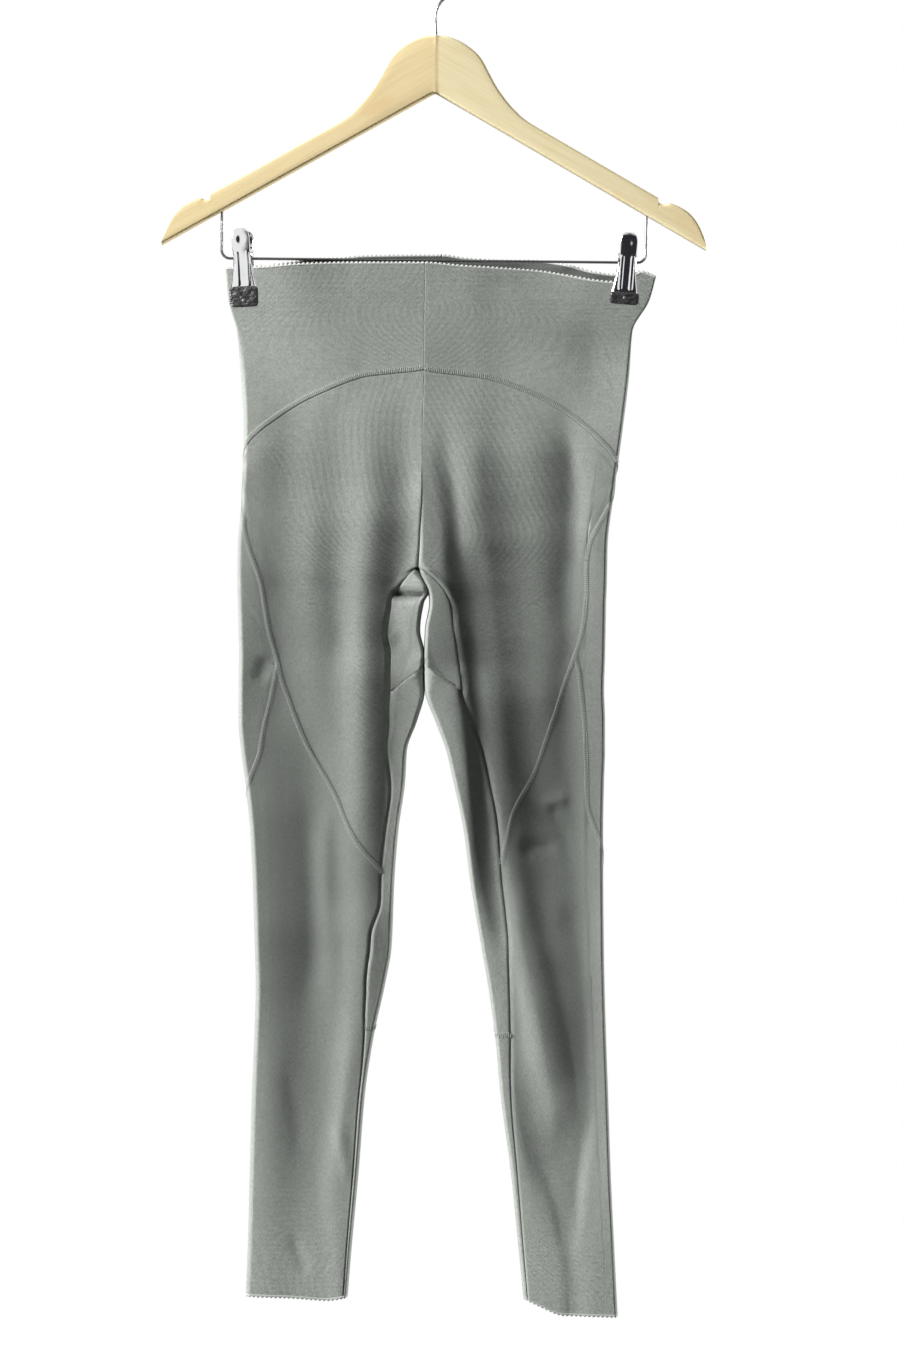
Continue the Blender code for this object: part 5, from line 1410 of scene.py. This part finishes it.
def bore(item, x, low, high, radius):
    """Drill an upright hole."""
    bm = bmesh.new()
    place = Matrix.Translation(Vector((x, 0.0, (low + high) / 2.0)) * MM)
    bmesh.ops.create_cone(
        bm, cap_ends=True, segments=24, radius1=radius * MM, radius2=radius * MM, depth=(high - low) * MM,
        matrix=place)
    mesh = bpy.data.meshes.new("drill")
    bm.to_mesh(mesh)
    bm.free()
    drill = bpy.data.objects.new("drill", mesh)
    for piece in (drill, item):
        bpy.context.scene.collection.objects.link(piece)
    cut = item.modifiers.new("bore", "BOOLEAN")
    cut.operation = "DIFFERENCE"
    cut.solver = "EXACT"
    cut.object = drill
    context = {"object": item, "active_object": item, "selected_objects": [item]}
    with bpy.context.temp_override(**context):
        bpy.ops.object.modifier_apply(modifier=cut.name)
    bpy.context.scene.collection.objects.unlink(item)
    bpy.data.objects.remove(drill)
    bpy.data.meshes.remove(mesh)
    item.data.shade_smooth()


def tube(name, points, radius, around=20):
    """A round wire through a list of points, closed at both ends."""
    points = np.array(points, float)
    along = unit(np.gradient(points, axis=0))
    side = np.array([0.0, 1.0, 0.0])
    vertices = []
    for point, way in zip(points, along):
        side = side - way * (side @ way)
        side = side / np.linalg.norm(side)
        other = np.cross(way, side)
        for step in range(around):
            angle = 2.0 * math.pi * step / around
            vertices.append(point + (side * math.cos(angle) + other * math.sin(angle)) * radius)
    faces = hoops(len(points), around)
    for centre, base, way in ((points[0], 0, -along[0]), (points[-1], (len(points) - 1) * around, along[-1])):
        tip = len(vertices)
        vertices.append(centre + way * radius * WIRE_TIP)
        for i in range(around):
            faces.append((base + i, base + (i + 1) % around, tip))
    item = mesh_object(name, vertices, faces)
    recalculate(item.data)
    return item


def hook_line():
    """The hook's wire, from inside the wood to the end of its bend."""
    radius = HOOK_RADIUS + HOOK_WIRE
    bend = []
    for step in range(HOOK_STEPS + 1):
        angle = math.radians(HOOK_START + (HOOK_END - HOOK_START) * step / HOOK_STEPS)
        bend.append((math.cos(angle) * radius, math.sin(angle) * radius - HOOK_RADIUS))
    line = smooth_outline(SHANK + bend[:1], 5)[:-1] + [np.array(point) for point in bend]
    return [(x, 0.0, z) for x, z in line]


def bar_line():
    """The crossbar wire: out of one arm, along below it and up into the other."""
    points = []
    for side in (-1.0, 1.0):
        top = BAR_DEPTH - 1.0 - underside_drop(BAR_HALF)
        corner = [(side * BAR_HALF, 0.0, top), (side * BAR_HALF, 0.0, -underside_drop(BAR_HALF) - 12.0)]
        for step in range(BAR_STEPS + 1):
            angle = math.pi / 2.0 * step / BAR_STEPS
            x = BAR_HALF - BAR_BEND * (1.0 - math.cos(angle))
            drop = BAR_DROP - BAR_BEND * (1.0 - math.sin(angle))
            corner.append((side * x, 0.0, -drop))
        points += corner + [(0.0, 0.0, -BAR_DROP)] if side < 0.0 else corner[::-1]
    return points


class LEGGINGS_OT_arms(bpy.types.Operator):
    """Two wooden arms glued at the middle"""

    bl_idname = "leggings.arms"
    bl_label = "Wooden arms"

    def execute(self, context):
        hanger = context.scene.leggings_hanger
        for side, name, colour in ((-1.0, "left", hanger.left_wood), (1.0, "right", hanger.right_wood)):
            item = wood_arm(side)
            link(item, wood_finish("hardwood " + name, tuple(colour), side))
            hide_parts("wood_" + name)
        return {"FINISHED"}


class LEGGINGS_OT_wires(bpy.types.Operator):
    """Hook and crossbar"""

    bl_idname = "leggings.wires"
    bl_label = "Hook and crossbar"

    def execute(self, context):
        # Painted shade: the wire's plating is darkened to three tenths of the clips' colour, standing in for
        # the dim reflections it shows.
        plating = plated_finish("plated wire", shade(context.scene.leggings_hanger.metal, 0.3), 0.2)
        for name, line, radius in (("hook", hook_line(), HOOK_WIRE), ("crossbar", bar_line(), BAR_WIRE)):
            item = link(tilted(tube(name + "_wire", line, radius)), plating)
            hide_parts(name)
        return {"FINISHED"}


# ---------------------------------------------------------------- clips
def clip_matrix(clip):
    """Where a clip's own sizes are measured from: the middle of the holes that hang on the crossbar."""
    drop = BAR_DROP + clip.x * math.sin(HANGER_TILT) + CLIP_SAG
    place = Matrix.Translation(Vector((clip.x, 0.0, -drop)) * MM)
    return place @ Matrix.Rotation(clip.turn, 4, "Z") @ Matrix.Rotation(clip.lean, 4, "Y")


def jaw_form(x, height):
    """Outward depth of a jaw's plate: turned-back edges, a thumb dish and two long ribs."""
    half = read(JAW[::-1], "height", "half_width", height)
    depth = read(JAW[::-1], "height", "depth", height)
    edge = np.abs(x) / half
    turned = TURNED_TOP + TURNED_MORE * smooth((TURNED_HEIGHT - height) / TURNED_REACH)
    lip = smooth((edge - TURNED_EDGE) / (1.0 - TURNED_EDGE)) ** 1.5
    depth = depth - turned * lip - JAW_CROWN * edge**2
    dish = np.hypot(x / DISH_HALF[0], (height - DISH_HEIGHT) / DISH_HALF[1])
    depth = depth - DISH_DEPTH * (1.0 - smooth(dish))
    beyond = np.maximum(0.0, np.abs(height - RIB_MIDDLE) - RIB_HALF_LENGTH)
    for centre in (-RIB_X, RIB_X):
        away = np.hypot(x - centre, beyond)
        depth = depth + RIB_HEIGHT * (1.0 - smooth((away - RIB_HALF) / RIB_HALF))
    return depth


def jaw_plate(name, face, ear_x, bottom):
    """A stamped steel jaw with its ears."""
    top = JAW[0].height
    heights = top - (top - bottom) * np.linspace(0.0, 1.0, JAW_ROWS) ** 1.15
    shares = np.sin(np.linspace(-0.5, 0.5, JAW_COLUMNS) * np.pi * 0.9) / math.sin(0.45 * math.pi)
    half = read(JAW[::-1], "height", "half_width", heights)
    x = half[:, None] * shares[None, :]
    height = np.broadcast_to(heights[:, None], x.shape)
    points = np.stack([x, face * jaw_form(x, height), height], axis=-1)
    side = 1.0 if face < 0.0 else -1.0
    wall = np.full(x.shape, JAW_WALL / 2.0)
    item = cloth_object(name, points, wall, wall, side)
    recalculate(item.data, lambda bm: add_ear(bm, -ear_x, face), lambda bm: add_ear(bm, ear_x, face))
    return item


def add_ear(bm, x, face):
    """A flat ear with a hole for the crossbar, reaching to its own plate."""
    loops = []
    for offset in (-EAR_WALL / 2.0, EAR_WALL / 2.0):
        outer, inner = [], []
        for step in range(EAR_STEPS):
            angle = 2.0 * math.pi * step / EAR_STEPS
            c, s = math.cos(angle), math.sin(angle)
            radius = EAR_RADIUS
            if c > 0.0:
                radius = min(EAR_ROOT / c, EAR_RADIUS / max(abs(s), 1e-6))
            outer.append(bm.verts.new(Vector((x + offset, face * c * radius, s * radius)) * MM))
            inner.append(bm.verts.new(Vector((x + offset, face * c * EAR_HOLE, s * EAR_HOLE)) * MM))
        loops.append((outer, inner))
    (outer_a, inner_a), (outer_b, inner_b) = loops
    for i in range(EAR_STEPS):
        n = (i + 1) % EAR_STEPS
        bm.faces.new((outer_a[i], outer_a[n], inner_a[n], inner_a[i]))
        bm.faces.new((outer_b[n], outer_b[i], inner_b[i], inner_b[n]))
        bm.faces.new((outer_a[n], outer_a[i], outer_b[i], outer_b[n]))
        bm.faces.new((inner_a[i], inner_a[n], inner_b[n], inner_b[i]))


def squared(value, power):
    """A sine or cosine with its curve made squarer."""
    return math.copysign(abs(value) ** power, value)


def rubber_cap(name, clip, face):
    """A rubber cap on a jaw's end, swollen in the middle and puckered."""
    height = (clip.cap_top + clip.cap_bottom) / 2.0
    half_height = (clip.cap_top - clip.cap_bottom) / 2.0
    depth, half_depth = (CAP_FRONT + CAP_CLOTH) / 2.0, (CAP_FRONT - CAP_CLOTH) / 2.0
    vertices = []
    for row in range(CAP_ROWS + 1):
        v = -math.pi / 2.0 + math.pi * row / CAP_ROWS
        belt = math.cos(v)
        z = squared(math.sin(v), 0.35)
        for column in range(CAP_COLUMNS):
            w = 2.0 * math.pi * column / CAP_COLUMNS
            across = squared(math.cos(w), 0.30) * max(belt, CAP_END) ** 0.28
            through = squared(math.sin(w), 0.38) * max(belt, CAP_END) ** 0.38
            pucker = CAP_PUCKER * math.sin(z * 7.0 + across * 2.6) * max(0.0, through) * belt
            y = depth + half_depth * through + pucker * 0.5
            vertices.append((CAP_HALF * across, face * min(y, CAP_FRONT), height + half_height * z))
    rings = (CAP_ROWS + 1, CAP_COLUMNS)
    item = mesh_object(name, vertices, hoops(*rings) + caps(*rings))
    recalculate(item.data, lambda bm: bmesh.ops.remove_doubles(bm, verts=bm.verts, dist=CAP_MERGE))
    return item


def coil_spring(name):
    """A steel coil round the crossbar, between the jaws."""
    line = []
    steps = SPRING_TURNS * SPRING_STEPS
    for step in range(steps + 1):
        angle = SPRING_START + 2.0 * math.pi * SPRING_TURNS * step / steps
        x = -SPRING_HALF + 2.0 * SPRING_HALF * step / steps
        line.append((x, math.cos(angle) * SPRING_RADIUS, math.sin(angle) * SPRING_RADIUS))
    return tube(name, line, SPRING_WIRE, 10)


def rivet(name, face, height, front):
    """A domed rivet head."""
    bm = bmesh.new()
    bmesh.ops.create_uvsphere(bm, u_segments=20, v_segments=12, radius=RIVET_RADIUS * MM)
    for vertex in bm.verts:
        vertex.co.y = (face * front) * MM + vertex.co.y * RIVET_DOME
        vertex.co.z += height * MM
    mesh = bpy.data.meshes.new(name)
    bm.to_mesh(mesh)
    bm.free()
    mesh.shade_smooth()
    return bpy.data.objects.new(name, mesh)


class LEGGINGS_OT_clips(bpy.types.Operator):
    """Sprung clips: two steel jaws with rubber caps, a rivet and a coil each"""

    bl_idname = "leggings.clips"
    bl_label = "Clips"

    def execute(self, context):
        hanger = context.scene.leggings_hanger
        steel = plated_finish("plated steel", tuple(hanger.metal), 0.07)
        # Painted shade: the rivets are rougher and their colour is darkened to a fifth of the plating's, to
        # dim their reflections.
        rivet_painted_dark = plated_finish("rivet steel", shade(hanger.metal, 0.2), 0.5)
        rubber = rubber_finish("black rubber", tuple(hanger.rubber))
        for clip in CLIPS:
            matrix = clip_matrix(clip)
            made = []
            for part, face, ear_x in (("front", -1.0, FRONT_EAR_X), ("back", 1.0, BACK_EAR_X)):
                node = "clip_" + clip.name + "_" + part
                plate = jaw_plate(node + "_steel", face, ear_x, JAW[-1].height + 0.2)
                cap = rubber_cap(node + "_rubber", clip, face)
                head = rivet(node + "_rivet", face, clip.cap_bottom + RIVET_LIFT, CAP_FRONT - RIVET_SINK)
                cap.visible_shadow = plate.visible_shadow = False
                made += [(plate, steel, "clip_metal", node + "_jaw"), (cap, rubber, "rubber", node + "_pad")]
                made.append((head, rivet_painted_dark, "clip_metal", None))
            coil = coil_spring("clip_" + clip.name + "_coil")
            made.append((coil, steel, "clip_metal", "clip_" + clip.name + "_spring"))
            for item, finish, slot, node in made:
                item.data.transform(matrix)
                link(item, finish)
                if node:
                    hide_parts(node)
        return {"FINISHED"}


# ---------------------------------------------------------------- studio
def area_light(name, place, size, power):
    """A soft white rectangular light that faces the centre."""
    data = bpy.data.lights.new(name, "AREA")
    data.shape = "RECTANGLE"
    data.size, data.size_y = size
    data.energy = power
    item = bpy.data.objects.new(name, data)
    item.location = place
    item.rotation_euler = (Vector(CENTRE) - Vector(place)).to_track_quat("-Z", "Y").to_euler()
    item.visible_camera = False
    bpy.context.scene.collection.objects.link(item)


def studio_world():
    """White to the camera, a bright wall behind a dim room to the cloth, and dark cards with bright sides to
    the plating."""
    world = bpy.data.worlds.new("studio")
    world.use_nodes = True
    graph = Graph(world.node_tree)
    back = world.node_tree.nodes["Background"]
    across, depth, height = graph.parts(graph.add("ShaderNodeTexCoord"))
    level = (height * height).clamped(0.5, 0.95) * 0.45
    room = graph.mix(depth.clamped(0.0, 0.5) + level, (0.04, 0.04, 0.04), (0.8, 0.8, 0.8))
    sides = (across * -1.0).clamped(0.16, 0.27) + across.clamped(0.42, 0.6) + height.clamped(0.4, 0.7)
    cards = graph.mix(sides * (1.0 - depth.clamped(-0.1, 0.1)), (0.03, 0.03, 0.035), (1.1, 1.1, 1.1))
    seen = graph.add("ShaderNodeLightPath")
    mirrored = Socket(graph, seen.socket.node.outputs["Is Glossy Ray"])
    colour = graph.mix(seen, graph.mix(mirrored, room, cards), (1.0, 1.0, 1.0))
    graph.tree.links.new(colour.socket, back.inputs["Color"])
    bpy.context.scene.world = world


class LEGGINGS_OT_studio(bpy.types.Operator):
    """Camera, soft lights and pale floor"""

    bl_idname = "leggings.studio"
    bl_label = "Studio"

    def execute(self, context):
        studio = context.scene.leggings_studio
        camera = bpy.data.cameras.new("camera")
        camera.sensor_width = SENSOR
        camera.lens = camera.sensor_width * studio.distance / studio.field
        item = bpy.data.objects.new("camera", camera)
        item.location = Vector(CENTRE) + Vector((0.0, -studio.distance, 0.0))
        item.rotation_euler = (math.pi / 2.0, 0.0, 0.0)
        context.scene.collection.objects.link(item)
        context.scene.camera = item
        area_light("key", KEY_PLACE, KEY_SIZE, studio.key)
        area_light("rim", RIM_PLACE, RIM_SIZE, studio.rim)
        self.floor(studio)
        studio_world()
        context.scene.view_settings.view_transform = "Standard"
        return {"FINISHED"}

    def floor(self, studio):
        """A wide pale floor well below the hems."""
        bm = bmesh.new()
        bmesh.ops.create_grid(bm, x_segments=8, y_segments=8, size=1.0)
        mesh = bpy.data.meshes.new("floor")
        bm.to_mesh(mesh)
        bm.free()
        finish = Finish("pale floor", Specular_IOR_Level=0.2)
        cloud = finish.noise(finish.place(), 3.0, 2.0)
        colour = tuple(studio.floor_colour)
        finish.drive("Base Color", finish.mix(cloud, colour, shade(colour, 0.97)))
        finish.drive("Roughness", 0.7 + cloud * 0.1)
        mesh.materials.append(finish.material)
        floor = bpy.data.objects.new("floor", mesh)
        floor.location.z = FLOOR_HEIGHT
        bpy.context.scene.collection.objects.link(floor)
        return floor


class LEGGINGS_PT_pieces(bpy.types.Panel):
    """The leggings, their hanger and the studio"""

    bl_idname = "LEGGINGS_PT_pieces"
    bl_label = "Leggings"
    bl_space_type = "VIEW_3D"
    bl_region_type = "UI"
    bl_category = "Leggings"

    def draw(self, context):
        for settings in SETTINGS:
            group = getattr(context.scene, settings)
            box = self.layout.box()
            for name in group.__annotations__:
                box.prop(group, name)
        for operator in OPERATORS:
            self.layout.operator(operator.bl_idname)


SETTINGS = {
    "leggings_knit": KnitSettings, "leggings_hanger": HangerSettings, "leggings_studio": StudioSettings,
}
OPERATORS = [
    LEGGINGS_OT_waistband, LEGGINGS_OT_thighs, LEGGINGS_OT_backs, LEGGINGS_OT_legs, LEGGINGS_OT_gusset,
    LEGGINGS_OT_flatlock, LEGGINGS_OT_arms, LEGGINGS_OT_wires, LEGGINGS_OT_clips, LEGGINGS_OT_studio,
]


def register():
    for name, group in SETTINGS.items():
        bpy.utils.register_class(group)
        setattr(bpy.types.Scene, name, PointerProperty(type=group))
    for operator in OPERATORS:
        bpy.utils.register_class(operator)
    bpy.utils.register_class(LEGGINGS_PT_pieces)


def unregister():
    bpy.utils.unregister_class(LEGGINGS_PT_pieces)
    for operator in reversed(OPERATORS):
        bpy.utils.unregister_class(operator)
    for name, group in reversed(list(SETTINGS.items())):
        delattr(bpy.types.Scene, name)
        bpy.utils.unregister_class(group)


def main():
    register()
    for operator in OPERATORS:
        family, name = operator.bl_idname.split(".")
        getattr(getattr(bpy.ops, family), name)()


if __name__ == "__main__":
    main()
